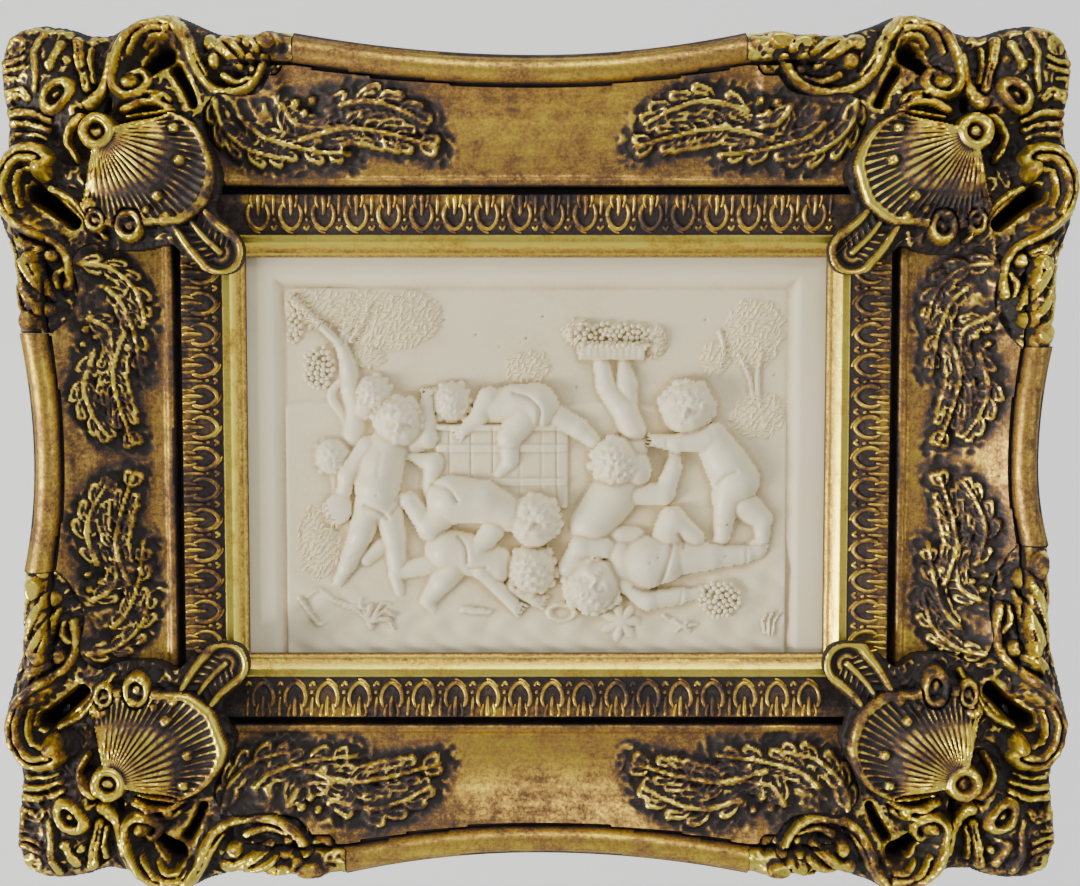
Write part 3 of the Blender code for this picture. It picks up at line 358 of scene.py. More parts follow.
def prism(name, outline, near, far):
    """Cutter whose flat outline, in x and z, runs from one depth to another."""
    turn = np.roll(outline, -1, 0)
    if (outline[:, 0] * turn[:, 1] - turn[:, 0] * outline[:, 1]).sum() < 0:
        outline = outline[::-1]
    count = len(outline)
    points = [(x, -depth, z - HANG_HEIGHT) for depth in (far, near) for x, z in outline]
    faces = [tuple(range(count)), tuple(range(2 * count - 1, count - 1, -1))]
    for i in range(count):
        j = (i + 1) % count
        faces.append((i, i + count, j + count, j))
    mesh = bpy.data.meshes.new(name)
    mesh.from_pydata(points, [], faces)
    return linked(name, mesh)


def trimmed(mesh, cuts):
    """The mesh after each (cutter, operation), which are used up."""
    piece = linked(mesh.name, mesh)
    for cutter, operation in cuts:
        modifier = piece.modifiers.new("trim", "BOOLEAN")
        modifier.object = cutter
        modifier.operation = operation
        modifier.solver = "MANIFOLD"
    result = bpy.data.meshes.new_from_object(piece.evaluated_get(bpy.context.evaluated_depsgraph_get()))
    for thing in [piece] + [cutter for cutter, _ in cuts]:
        bpy.data.objects.remove(thing)
    return result


def rectangle(half_width, half_height):
    """Outline of an upright rectangle round the middle of the opening."""
    return np.array([(-1, -1), (1, -1), (1, 1), (-1, 1)]) * (half_width, half_height)


# %% Finished pieces
SHARP_ANGLE = math.radians(62)
pieces = {}


def vertex_places(mesh):
    """Array of the places of a mesh's vertices."""
    places = np.empty(len(mesh.vertices) * 3)
    mesh.vertices.foreach_get("co", places)
    return places.reshape(-1, 3)


def add_piece(name, mesh, material_slot, *nodes):
    """Puts a finished mesh in the scene and notes its finish and the solids it stands in for."""
    places = np.clip(vertex_places(mesh), frame_box[0], frame_box[1])
    mesh.vertices.foreach_set("co", places.ravel())
    mesh.shade_smooth()
    mesh.set_sharp_from_angle(angle=SHARP_ANGLE)
    mesh.name = name
    pieces[name] = (linked(name, mesh), material_slot, nodes)
    mesh.calc_loop_triangles()
    print(name, "has", len(mesh.loop_triangles), "triangles")


# %% [markdown]
# ## The relief
#
# The cast shows a traditional harvest scene. Its children are rounded limbs that melt into one
# another, so each is a list of tapering capsules in board units, and the groups of one child overlap
# crisply, as an arm does in front of a chest. A limb reads: across, up, radius, lift, at each end.

# %% The children, limb by limb
FIGURES = {
    "reaching": (
        ((-38.4, 21.6, 1.2, 0.5, -37.2, 18.0, 1.6, 0.6), (-37.2, 18.0, 1.7, 0.6, -36.7, 13.6, 2.0, 0.5),
         (-36.7, 13.6, 2.0, 0.5, -35.6, 10.4, 2.4, 0.3), (-35.6, 8.6, 2.4, 0.2, -36.2, 4.0, 2.4, 0.0)),
        ((-32.4, 12.4, 3.7, 0.7, -32.0, 11.8, 3.7, 0.7), (-34.4, 9.8, 2.5, 0.9, -34.2, 9.4, 2.5, 0.9)),
    ),
    "listening": (((-40.4, 0.2, 3.6, 0.2, -40.4, -0.2, 3.5, 0.2),),),
    "behind": (
        ((-20.9, -7.2, 1.7, 0.8, -20.3, -1.4, 2.2, 1.3), (-20.3, -1.4, 2.1, 1.3, -24.4, -0.2, 0.9, 1.6)),
        ((-33.8, -20.4, 1.6, 0.3, -30.8, -18.0, 1.8, 0.3),),
    ),
    "standing": (
        ((-24.2, 2.4, 1.9, 1.0, -21.4, 3.4, 1.9, 1.4), (-21.4, 3.4, 1.9, 1.4, -21.6, 10.4, 1.5, 1.6),
         (-21.6, 10.4, 1.3, 1.6, -21.6, 11.6, 1.2, 1.5)),
        ((-29.6, -10.2, 3.1, 1.4, -28.3, -16.4, 2.3, 1.3), (-28.3, -16.4, 2.2, 1.2, -27.6, -22.6, 1.7, 0.9)),
        ((-29.6, 1.4, 4.2, 1.3, -30.8, -1.6, 4.6, 1.6), (-30.8, -1.6, 4.6, 1.6, -31.6, -6.0, 4.5, 2.0),
         (-31.6, -6.0, 4.4, 2.0, -31.4, -9.0, 3.9, 1.8), (-33.0, -9.4, 3.2, 1.8, -34.8, -15.4, 2.5, 1.8),
         (-34.8, -15.4, 2.4, 1.7, -37.6, -21.8, 1.7, 1.2), (-37.6, -21.8, 1.5, 1.1, -39.2, -24.6, 1.2, 0.9)),
        ((-33.4, 1.8, 2.2, 1.9, -37.4, -3.8, 1.9, 1.9), (-37.4, -3.8, 1.8, 1.9, -38.4, -8.4, 1.3, 1.9)),
        ((-27.4, 7.2, 4.6, 2.6, -27.2, 6.4, 4.5, 2.6),),
    ),
    "crawling": (
        ((-16.8, -21.8, 3.3, 1.2, -18.6, -24.8, 2.5, 1.2), (-18.6, -24.8, 2.3, 1.2, -21.6, -28.8, 1.6, 0.9),
         (-21.6, -28.8, 1.4, 0.9, -20.6, -30.6, 1.0, 0.7)),
        ((-20.4, -21.4, 2.0, 1.0, -27.8, -23.2, 1.5, 0.8), (-28.2, -23.4, 1.3, 0.8, -27.2, -27.2, 1.0, 0.6)),
        ((-17.6, -18.9, 4.5, 1.2, -13.0, -19.6, 4.2, 1.3), (-13.0, -19.6, 4.2, 1.3, -8.0, -21.4, 3.5, 1.3),
         (-7.8, -20.6, 2.0, 1.9, -7.4, -23.2, 2.0, 1.9)),
        ((-4.6, -26.0, 1.7, 1.2, -0.2, -28.6, 1.4, 0.9),),
        ((-0.9, -22.2, 4.7, 2.2, -0.8, -22.8, 4.6, 2.2),),
    ),
    "bending": (
        ((-18.6, -11.0, 3.4, 2.2, -21.2, -14.4, 2.4, 2.2), (-21.2, -14.4, 2.2, 2.1, -25.2, -8.8, 1.8, 2.0),
         (-25.2, -8.6, 1.6, 2.0, -28.4, -9.0, 1.1, 1.8)),
        ((-16.8, -8.6, 4.9, 2.6, -10.6, -8.8, 4.3, 2.8), (-10.6, -8.8, 4.3, 2.8, -5.6, -11.4, 3.6, 2.8)),
        ((-8.6, -14.6, 2.3, 3.4, -11.8, -18.6, 1.9, 3.3), (-11.8, -18.6, 1.9, 3.3, -11.2, -22.4, 1.7, 2.9),
         (-11.2, -22.4, 1.7, 2.9, -4.4, -29.6, 1.2, 1.6)),
        ((-0.3, -12.2, 4.7, 3.6, -0.4, -13.2, 4.7, 3.6),),
    ),
    "leaning": (
        ((4.0, 7.8, 2.3, 1.2, 8.4, 5.6, 2.0, 1.4), (8.4, 5.6, 1.9, 1.4, 11.4, 3.0, 1.4, 1.2)),
        ((-16.8, 10.9, 3.7, 1.0, -16.8, 10.5, 3.6, 1.0),),
        ((-9.4, 9.6, 3.2, 1.0, -3.8, 10.4, 4.0, 1.5), (-3.8, 10.4, 4.0, 1.5, -0.2, 9.9, 4.6, 1.9)),
        ((-2.6, 8.0, 3.5, 2.4, -5.3, 3.8, 2.4, 2.9), (-5.3, 3.8, 2.3, 2.8, -5.2, -0.8, 1.7, 2.4),
         (-5.2, -0.8, 1.6, 2.4, -7.4, -3.4, 1.1, 2.2)),
        ((-9.4, 11.4, 2.4, 2.0, -11.2, 8.0, 1.9, 2.4), (-11.2, 8.0, 1.8, 2.4, -14.2, 5.4, 1.2, 2.6)),
    ),
    "carrying": (
        ((17.4, 18.4, 1.2, 0.4, 17.8, 14.2, 2.3, 0.8), (17.8, 14.2, 2.1, 0.8, 18.6, 10.4, 1.4, 0.9)),
        ((12.9, 18.8, 1.5, 0.8, 13.8, 13.8, 1.9, 1.0), (13.8, 13.8, 1.9, 1.0, 17.6, 9.0, 2.5, 1.0),
         (17.6, 9.0, 2.5, 1.0, 19.2, 5.0, 2.6, 0.9)),
        ((19.4, 1.4, 2.8, 0.8, 17.6, -5.2, 3.8, 0.9), (15.4, -7.6, 4.8, 1.0, 11.0, -13.6, 4.4, 0.9)),
        ((16.9, -16.4, 2.6, 0.9, 19.4, -16.2, 2.2, 0.9),),
        ((19.4, -7.4, 2.2, 1.8, 25.4, -7.4, 2.2, 2.0), (25.4, -7.4, 2.1, 2.0, 27.2, -2.2, 1.7, 1.9),
         (27.2, -2.2, 1.5, 1.9, 27.4, -0.4, 1.2, 1.8)),
        ((19.4, -2.2, 3.3, 2.4, 19.6, -2.8, 3.3, 2.4), (15.5, -0.6, 4.5, 2.7, 15.8, -1.8, 4.5, 2.7)),
    ),
    "watching": (
        ((41.2, -9.4, 3.1, 1.2, 45.0, -12.6, 2.1, 1.0), (45.0, -12.6, 1.9, 1.0, 45.0, -16.4, 1.4, 0.8),
         (45.0, -16.6, 1.2, 0.8, 43.0, -17.8, 0.9, 0.7)),
        ((34.8, 3.4, 3.4, 1.5, 37.6, -1.2, 4.3, 1.9), (37.6, -1.2, 4.3, 1.9, 39.6, -4.8, 4.7, 1.9),
         (38.2, -7.6, 3.2, 1.8, 37.3, -12.4, 2.1, 1.5), (37.3, -12.4, 2.0, 1.5, 37.0, -16.0, 1.6, 1.1),
         (37.0, -16.2, 1.3, 1.1, 35.6, -17.2, 0.9, 0.8)),
        ((33.8, 3.4, 2.4, 2.8, 27.6, 2.6, 1.8, 3.1), (27.6, 2.6, 1.7, 3.1, 23.8, 3.0, 1.2, 2.8)),
        ((30.1, 9.8, 4.9, 2.6, 29.6, 9.4, 4.8, 2.6),),
    ),
    "reclining": (
        ((25.8, -17.0, 3.1, 1.9, 27.0, -12.4, 2.6, 2.0), (27.0, -12.4, 2.5, 2.0, 31.4, -16.4, 2.1, 1.8)),
        ((29.0, -20.2, 3.4, 2.3, 34.6, -20.0, 2.6, 2.2), (34.6, -20.0, 2.4, 2.2, 41.6, -19.6, 1.7, 1.6),
         (41.6, -19.6, 1.6, 1.6, 44.4, -18.8, 1.4, 1.3)),
        ((16.6, -19.4, 2.9, 2.2, 17.6, -22.4, 3.3, 2.3), (17.6, -21.8, 3.5, 2.3, 21.6, -21.2, 5.2, 2.6),
         (21.6, -21.2, 5.1, 2.6, 25.4, -20.6, 4.6, 2.6)),
        ((17.4, -24.6, 2.3, 2.6, 22.2, -28.6, 2.1, 2.9), (22.2, -28.6, 2.0, 2.9, 29.0, -27.8, 1.6, 2.2),
         (29.0, -27.8, 1.4, 2.2, 32.0, -27.4, 1.1, 1.8)),
        ((11.3, -25.3, 5.3, 3.0, 11.1, -25.7, 5.2, 3.0),),
        ((13.4, -18.2, 2.1, 3.2, 8.8, -18.0, 2.3, 3.3), (8.8, -18.0, 2.2, 3.3, 6.2, -22.2, 1.8, 3.2),
         (6.4, -22.0, 1.4, 3.2, 10.4, -21.0, 1.1, 4.4)),
    ),
}
LIMB_BLEND = 1.1
LIMB_LIFT = 0.8
BELOW = -9.0

# Where each hand or foot ends: place, direction in degrees, how many fingers or toes, their size
HANDS = (
    ((-38.6, 22.2), 100, 4, 1.0, 0.8), ((-21.6, 12.4), 92, 4, 0.9, 1.9), ((-25.0, -0.1), 175, 2, 0.9, 1.8),
    ((-38.5, -9.0), 265, 4, 0.9, 2.2), ((-39.6, -25.4), 245, 4, 0.7, 1.0), ((-28.9, -9.6), 205, 4, 0.7, 2.0),
    ((-20.2, -31.2), 300, 4, 0.7, 0.8), ((-27.0, -28.0), 285, 4, 0.6, 0.7), ((-3.6, -30.2), 320, 4, 1.1, 1.6),
    ((0.9, -28.9), 335, 4, 1.0, 1.1), ((-8.2, -4.0), 215, 4, 0.7, 2.2), ((-15.0, 4.9), 225, 4, 1.0, 2.7),
    ((23.0, 3.1), 175, 4, 0.9, 2.8), ((27.5, 0.6), 85, 4, 0.9, 1.9), ((34.9, -17.6), 215, 4, 0.6, 0.9),
    ((42.3, -18.3), 215, 4, 0.6, 0.8), ((45.2, -18.0), 70, 4, 0.7, 1.4), ((32.8, -27.2), 5, 4, 1.0, 1.9),
    ((11.4, -20.8), 15, 4, 1.0, 4.6),
)
# Folds of skin: points, half width, depth
CREASES = (
    (((-4.4, 12.6), (-1.4, 11.6), (0.6, 9.4), (0.4, 6.4)), 0.5, 0.9),
    (((-20.4, -5.6), (-17.6, -6.0), (-15.6, -8.6)), 0.5, 0.8),
    (((35.6, -5.4), (37.2, -3.6), (39.2, -2.8)), 0.4, 0.7),
    (((-33.8, -9.6), (-31.2, -10.6), (-29.4, -12.2)), 0.45, 0.8),
    (((-28.4, -11.2), (-27.4, -9.6), (-27.0, -8.4)), 0.4, 0.6),
    (((24.6, -25.0), (25.8, -21.0), (26.6, -17.6)), 0.5, 0.8),
    (((19.4, -25.8), (21.6, -26.6), (23.8, -26.6)), 0.4, 0.9),
    (((28.2, -15.4), (29.0, -16.8), (29.0, -18.0)), 0.4, 0.7),
    (((-15.6, -16.0), (-14.0, -18.0), (-13.6, -21.0)), 0.45, 0.8), (((-20.2, 1.4), (-22.6, 1.6)), 0.3, 0.5),
    (((-36.8, -20.0), (-35.2, -19.2)), 0.3, 0.4), (((-6.8, 2.0), (-4.0, 1.8)), 0.3, 0.4),
    (((41.6, -17.8), (41.8, -21.0)), 0.3, 0.5), (((28.6, -29.2), (28.9, -26.6)), 0.3, 0.5),
    (((25.6, 4.2), (25.8, 1.2)), 0.3, 0.5), (((-30.6, 1.0), (-30.9, -1.6), (-31.2, -3.6)), 0.5, 0.25),
    (((35.8, -13.6), (38.8, -13.6)), 0.3, 0.4), (((-13.2, -22.0), (-9.8, -21.8)), 0.3, 0.5),
)
NAVELS = ((-31.4, -7.4), (22.4, -20.6))
print(len(FIGURES), "children or parts of them,", sum(len(g) for f in FIGURES.values() for g in f), "limbs")

# %% Heads, faces and curls
# Place, radius, which way the crown points in degrees from straight up, turn to the side, lift, face
HEADS = (
    ((-32.2, 12.1), 3.7, 20, -0.5, 0.7, False), ((-40.4, 0.0), 3.6, 0, 0.0, 0.2, False),
    ((-27.3, 6.8), 4.6, -12, 0.25, 2.6, True), ((-0.8, -22.5), 4.7, -70, 0.0, 2.2, False),
    ((-0.35, -12.7), 4.7, -28, -0.3, 3.6, True), ((-16.8, 10.7), 3.7, 0, 0.0, 1.0, False),
    ((15.6, -1.2), 4.5, 40, 0.0, 2.7, False), ((29.8, 9.6), 4.9, -14, -0.3, 2.6, True),
    ((11.2, -25.5), 5.3, 150, 0.2, 3.0, True),
)
GOLDEN_ANGLE = math.radians(137.5)
CURLS = 26
CURL_SIZE = 0.31
HAIRLINE = 0.34
HAIR_RISE = 1.4
FACE_RISE = 1.7
LOCKS = 13


def curls(p, q, phase, low):
    """Rise of spiral curls over the crown, in shares of the head's radius."""
    rise = np.zeros(p.shape)
    for k in range(CURLS):
        r, turn = 0.97 * math.sqrt((k + 0.5) / CURLS), k * GOLDEN_ANGLE + phase
        cp, cq = r * math.cos(turn), r * math.sin(turn)
        if cq > low - 0.5 * abs(cp) ** 2:
            gap = np.hypot(p - cp, q - cq)
            angle = np.arctan2(q - cq, p - cp)
            spiral = 0.5 + 0.5 * np.cos(angle - 15 * gap / CURL_SIZE * 0.5 + turn)
            rise = np.maximum(rise, (0.07 + 0.10 * spiral) * pillow(gap, CURL_SIZE))
    return rise


def face(p, q, turn):
    """Rise of a calm child's face by drawing-book shares: eyes half way down, mouth a third below."""
    middle = 0.42 * turn
    side = p - middle
    eye = np.hypot((np.abs(side) - 0.33) / 1.25, q + 0.08)
    rise = -0.10 * np.exp(-(eye / 0.17) ** 2)
    rise = rise + 0.075 * np.exp(-(eye / 0.085) ** 2)
    lid = np.hypot((np.abs(side) - 0.33) / 1.6, q + 0.055 - 0.06 * ((np.abs(side) - 0.33) / 0.15) ** 2)
    rise = rise + 0.03 * np.exp(-(lid / 0.03) ** 2)
    rise = rise + 0.05 * np.exp(-((q - 0.10) / 0.07) ** 2) * np.exp(-((np.abs(side) - 0.3) / 0.22) ** 2)
    down = np.clip(-q / 0.36, 0, 1)
    nose = (0.05 + 0.13 * down) * np.exp(-(side / (0.055 + 0.045 * down)) ** 2)
    rise = rise + nose * smooth_step((0.08 - q) / 0.1) * smooth_step((q + 0.44) / 0.06)
    cheek = np.hypot((np.abs(side) - 0.42) / 1.1, q + 0.42)
    rise = rise + 0.07 * np.exp(-(cheek / 0.2) ** 2)
    lips = np.exp(-(side / 0.17) ** 2)
    rise = rise + 0.055 * lips * np.exp(-((q + 0.56) / 0.045) ** 2)
    rise = rise + 0.060 * lips * np.exp(-((q + 0.68) / 0.055) ** 2)
    rise = rise - 0.050 * lips * np.exp(-((q + 0.615) / 0.022) ** 2)
    rise = rise + 0.07 * np.exp(-(np.hypot(side, q + 0.88) / 0.15) ** 2)
    return rise


def head_detail(u, v):
    """Rise of hair and face on every head, in board units."""
    rise = np.zeros(u.shape)
    for i, ((cu, cv), radius, tilt, turn, _, shows_face) in enumerate(HEADS):
        angle = math.radians(tilt)
        near = np.hypot(u - cu, v - cv) < 1.02 * radius
        du, dv = (u[near] - cu) / radius, (v[near] - cv) / radius
        p = du * math.cos(angle) + dv * math.sin(angle)
        q = -du * math.sin(angle) + dv * math.cos(angle)
        detail = HAIR_RISE * curls(p, q, i, HAIRLINE if shows_face else -2.0)
        if shows_face:
            detail = np.where(detail > 0.02, detail, FACE_RISE * face(p, q, turn))
        rise[near] = detail * radius * smooth_step((1 - np.hypot(p, q)) / 0.15)
    return rise


def locks(u, v):
    """Height of the locks of hair that stand out round every crown, in board units."""
    height = np.full(u.shape, BELOW)
    for (cu, cv), radius, tilt, _, lift, shows_face in HEADS:
        spread = math.radians(105 if shows_face else 170)
        for k in range(LOCKS):
            angle = math.radians(tilt) + spread * (2 * k / (LOCKS - 1) - 1)
            reach = radius * (0.90 + 0.06 * (k % 3))
            at_u, at_v = cu - reach * math.sin(angle), cv + reach * math.cos(angle)
            size = radius * (0.20 + 0.03 * (k % 2))
            height = np.maximum(height, limb(u, v, (at_u, at_v, size, lift, at_u + 0.1, at_v, size, lift)))
    return height


# %% [markdown]
# ### Vat, basket, plants and ground
#
# Behind the children stand a staved vat with two hoops, a flat basket held high, trees at both
# sides and a rocky bank. The plain things are swellings with lines cut into them. Leaves and grapes
# repeat, so further down Geometry Nodes strew them over the mounds made here.

# %% Setting of the relief
FOLIAGE = (
    ((-41.0, 30.4), (11.0, 5.0), 1.0), ((-29.0, 27.4), (10.6, 6.4), 1.3), ((43.0, 24.4), (6.0, 7.0), 0.7),
    ((44.0, 8.0), (5.6, 4.5), 0.7), ((-43.2, -17.0), (4.4, 8.0), 1.1), ((-1.6, 17.6), (4.6, 3.2), 0.5),
    ((35.4, 19.4), (3.0, 3.4), 0.5), ((8.4, 24.6), (3.4, 2.6), 1.4), ((23.6, 22.8), (2.2, 3.4), 1.6),
    ((-33.0, 19.6), (3.0, 2.2), 0.6),
)
BRANCHES = (
    (((-37.2, -14.0), (-40.0, -4.0), (-37.6, 6.0), (-40.6, 12.0), (-37.4, 16.0)), 1.2, 0.8, 0.8, 0.0),
    (((-48.2, 31.4), (-45.0, 28.4), (-40.8, 24.2), (-38.8, 22.4)), 0.55, 0.75, 2.2, 0.0),
    (((-45.4, 28.8), (-43.4, 27.0), (-44.6, 25.4)), 0.35, 0.25, 1.7, 0.0),
    (((-38.4, 22.0), (-37.0, 26.0), (-34.2, 29.0)), 1.3, 0.7, 1.3, 0.3),
    (((-36.6, 23.0), (-34.0, 26.4), (-32.6, 30.4)), 0.6, 0.4, 1.6, 0.0),
    (((45.2, 6.0), (43.8, 13.0), (44.4, 22.0)), 0.7, 0.35, 0.9, 0.0),
    (((43.0, 11.0), (42.0, 16.0), (39.6, 21.0)), 0.5, 0.3, 0.8, 0.0),
    (((36.2, 24.6), (37.0, 21.4), (36.4, 17.6)), 0.5, 0.3, 0.9, 0.0),
)
PLANTS = (
    (((-33.0, -29.8), (-33.6, -32.2), (-32.8, -34.2)), 0.5, 0.4, 0.9),
    (((-32.6, -32.4), (-30.6, -29.4), (-28.6, -29.8)), 0.4, 0.15, 1.0),
    (((-32.6, -32.6), (-30.0, -30.8), (-28.0, -32.2)), 0.4, 0.15, 1.0),
    (((-32.6, -33.0), (-29.8, -32.4), (-28.2, -34.6)), 0.4, 0.15, 1.0),
    (((-33.4, -32.4), (-35.0, -29.6), (-34.6, -28.2)), 0.4, 0.15, 0.9),
    (((-33.4, -32.6), (-36.0, -30.6), (-38.4, -30.0)), 0.4, 0.15, 0.9),
    (((47.2, -35.4), (47.6, -32.8), (49.0, -31.0)), 0.35, 0.15, 0.7),
    (((46.4, -35.4), (46.4, -32.8), (47.4, -30.8)), 0.35, 0.15, 0.7),
    (((45.6, -35.2), (45.2, -33.0), (45.8, -31.6)), 0.3, 0.15, 0.6),
    (((27.4, -32.6), (30.6, -35.0)), 0.35, 0.3, 0.8),
    (((30.2, -33.0), (28.0, -35.0)), 0.3, 0.25, 0.7),
    (((25.4, -31.8), (28.6, -33.8), (32.0, -33.6)), 0.3, 0.2, 0.6),
    (((-45.6, -28.0), (-43.0, -26.6), (-39.6, -29.0), (-33.4, -30.6)), 0.35, 0.3, 0.6),
    (((-46.0, -30.0), (-43.6, -33.4), (-41.8, -33.0)), 0.35, 0.25, 0.7),
    (((-47.2, -28.2), (-44.8, -31.6)), 0.4, 0.2, 0.8),
    (((-14.6, -30.6), (-11.6, -31.0), (-9.2, -31.2)), 0.6, 0.4, 0.6),
)
STAR_LEAF = ((16.9, -33.0), 4.2, 1.3, 7)
VAT = (-6.8, -2.6, 12.8, 8.4, 2.0)
STAVE_LINES = (-17.2, -12.9, -8.6, -3.4, 0.9, 4.0)
HOOPS = ((6.0, 0.75, 0.75), (1.65, 0.8, 0.45), (-5.0, 0.85, 0.45))
BASKET = (14.9, 20.7, 6.9, 1.65, 2.0)
BASKET_WEAVE = 1.25
BOWL = ((5.1, -31.2), 3.2, 1.9, 1.6)
FLASK = ((-39.2, -10.4), 2.7, 3.0, 1.7)
FLASK_LIFT = 1.2
BANK_RISE = 0.9
GROUND_LINE = ((-50.0, -25.0), (-30.0, -27.0), (-10.0, -31.0), (12.0, -31.0), (34.0, -24.0), (50.0, -19.0))
PIN_HOLES = ((-18.4, 27.0), (-12.0, 24.0), (-7.4, 21.8), (-2.0, 23.4), (39.6, 20.4), (47.0, 16.0),
             (37.8, -13.4), (23.9, -19.6), (37.4, -19.6), (8.0, 13.6), (-4.0, -26.0),
             (33.6, 27.0), (46.2, 3.6), (1.4, 27.6))


# %% Mounds, limbs and vessels
def mound(u, v, middle, half, rise):
    """Height of a flat oval mound, in board units."""
    return rise * pillow(np.hypot((u - middle[0]) / half[0], (v - middle[1]) / half[1]), 1) ** 0.5


def limb(u, v, shape):
    """Height of one tapering round limb, in board units; far below the ground outside it."""
    u0, v0, r0, lift0, u1, v1, r1, lift1 = shape
    result = np.full(u.shape, BELOW)
    reach = max(r0, r1)
    near = ((u > min(u0, u1) - reach) & (u < max(u0, u1) + reach)
            & (v > min(v0, v1) - reach) & (v < max(v0, v1) + reach))
    du, dv = u1 - u0, v1 - v0
    un, vn = u[near] - u0, v[near] - v0
    t = np.clip((un * du + vn * dv) / (du * du + dv * dv), 0, 1)
    gap = np.hypot(un - t * du, vn - t * dv)
    radius = r0 + (r1 - r0) * t
    lift = lift0 + (lift1 - lift0) * t
    swell = 0.35 * round_over(gap, radius) + 0.45 * (1 - (gap / radius) ** 2)
    result[near] = np.where(gap < radius, lift * LIMB_LIFT + radius * swell, BELOW)
    return result


def digits(place, direction, count, size, lift):
    """Limbs of the fingers or toes of one hand or foot."""
    angle = math.radians(direction)
    limbs = []
    for k in range(count):
        fan = (k - (count - 1) / 2) * 0.62 * size
        spread = angle - (k - (count - 1) / 2) * 0.16
        u0, v0 = place[0] + fan * math.sin(angle), place[1] - fan * math.cos(angle)
        u1, v1 = u0 + size * math.cos(spread), v0 + size * math.sin(spread)
        limbs.append((u0, v0, 0.36 * size, lift + 0.15, u1, v1, 0.28 * size, lift - 0.1))
    return limbs


def staved_vat(u, v):
    """Height of the vat: a flattened barrel with grooves between its staves and raised hoops."""
    um, vm, half_u, half_v, rise = VAT
    body = rise * np.sqrt(np.clip(1 - 0.75 * ((u - um) / half_u) ** 2, 0, 1))
    for line in STAVE_LINES:
        body = body - 0.3 * np.exp(-((u - line) / 0.16) ** 2)
    for place, half, proud in HOOPS:
        body = body + proud * smooth_step((half - np.abs(v - place)) / 0.2)
    return np.where((np.abs(u - um) < half_u) & (np.abs(v - vm - 0.6) < half_v), body, BELOW)


def flat_basket(u, v):
    """Height of the basket, with its wicker in upright ribs."""
    um, vm, half_u, half_v, rise = BASKET
    ribs = 0.22 * np.abs(np.sin(math.pi * (u - um) / BASKET_WEAVE)) + 0.16 * np.abs(np.sin(math.pi * v / 0.8))
    lip = 0.45 * ((np.abs(v - vm - half_v + 0.3) < 0.3) | (np.abs(v - vm + half_v - 0.25) < 0.25))
    return np.where((np.abs(u - um) < half_u - 0.16 * (vm + half_v - v)) & (np.abs(v - vm) < half_v),
                    rise + ribs + lip, BELOW)


def oval_dish(u, v, shape, hollow):
    """Height of a bowl or flask seen from the side, as an oval with a raised lip."""
    (um, vm), half_u, half_v, rise = shape
    r = np.hypot((u - um) / half_u, (v - vm) / half_v)
    lip = rise * round_over(r - 0.82, 0.2)
    inner = rise * (0.15 if hollow else 1.15) * np.where(hollow, 1.0, round_over(r * 0.7, 1))
    return np.where(r < 0.82, np.maximum(inner, lip), np.where(r < 1.02, lip, 0))


# %% The whole scene
def relief_units(u, v):
    """Height of the whole scene above its ground, in board units."""
    line = np.interp(u, [p[0] for p in GROUND_LINE], [p[1] for p in GROUND_LINE])
    wave = 0.25 * np.sin(u * 0.9 + 1.3 * np.sin(v * 0.5)) * np.sin(v * 0.7 + 0.6 * np.sin(u * 0.35))
    height = (BANK_RISE + wave) * smooth_step((line + 3 - v) / 6)
    height = height + 0.35 * smooth_step((9 + 2.2 * np.sin(u * 0.11) - v) / 1.2) * smooth_step((v + 32) / 9)
    for middle, half, rise in FOLIAGE:
        height = np.maximum(height, mound(u, v, middle, half, rise))
    for points, start, end, rise, groove in BRANCHES:
        height = np.maximum(height, stroke(u, v, points, start, end, rise, groove))
    for points, start, end, rise in PLANTS:
        stem = stroke(u, v, points, start, end, rise)
        height = np.maximum(height, np.where(stem > 0, BANK_RISE + stem, 0))
    (cu, cv), reach, rise, lobes = STAR_LEAF
    r = np.hypot(u - cu, v - cv)
    star = reach * (0.45 + 0.55 * np.abs(np.cos(np.arctan2(v - cv, u - cu) * lobes / 2)))
    inward = np.clip(1 - r / star, 0, 1)
    height = np.maximum(height, np.where(inward > 0, 0.7 + rise * inward ** 0.4, 0))
    height = np.maximum(height, staved_vat(u, v))
    height = np.maximum(height, flat_basket(u, v))
    for figure in FIGURES.values():
        for group in figure:
            part = np.full(u.shape, BELOW)
            for shape in group:
                part = smooth_max(part, limb(u, v, shape), LIMB_BLEND)
            height = np.where(part > BELOW + 1, np.maximum(height, part), height)
    for hand in HANDS:
        for shape in digits(*hand):
            height = np.maximum(height, limb(u, v, shape))
    height = np.maximum(height + head_detail(u, v), locks(u, v))
    for points, width, depth in CREASES:
        height = height - stroke(u, v, points, 1.7 * width, 1.5 * width, 0.8 * depth, profile=pillow)
    for place in NAVELS:
        height = height - bead(u, v, place, 0.45, 0.5, pillow)
    height = np.maximum(height, oval_dish(u, v, BOWL, True))
    flask = oval_dish(u, v, FLASK, False)
    height = np.maximum(height, np.where(flask > 0, FLASK_LIFT + flask, 0))
    for place in PIN_HOLES:
        height = height - bead(u, v, place, 0.22, 0.7)
    return height


def inside_border(x, z):
    """Distance inwards from the border to each place, below zero on the border."""
    return np.minimum(OPENING_WIDTH / 2 - BORDER_WIDTH - np.abs(x), OPENING_HEIGHT / 2 - TOP_BORDER - z)


def relief_height(x, z):
    """Height of the cast above its back: the scene and the raised border round it."""
    height = relief_units(x / RELIEF_UNIT, z / RELIEF_UNIT) * RELIEF_UNIT * RELIEF_DEPTH
    field = inside_border(x, z)
    border = BORDER_RISE * smooth_step(-field / BORDER_COVE) - 0.12 * MM * np.exp(-(field / (0.6 * MM)) ** 2)
    return PLAQUE_GROUND + np.where(field < 0, border, height + border * np.exp(-field / MM))


# %% Plaque as a carved slab
PLAQUE_STEP = 0.485 * MM


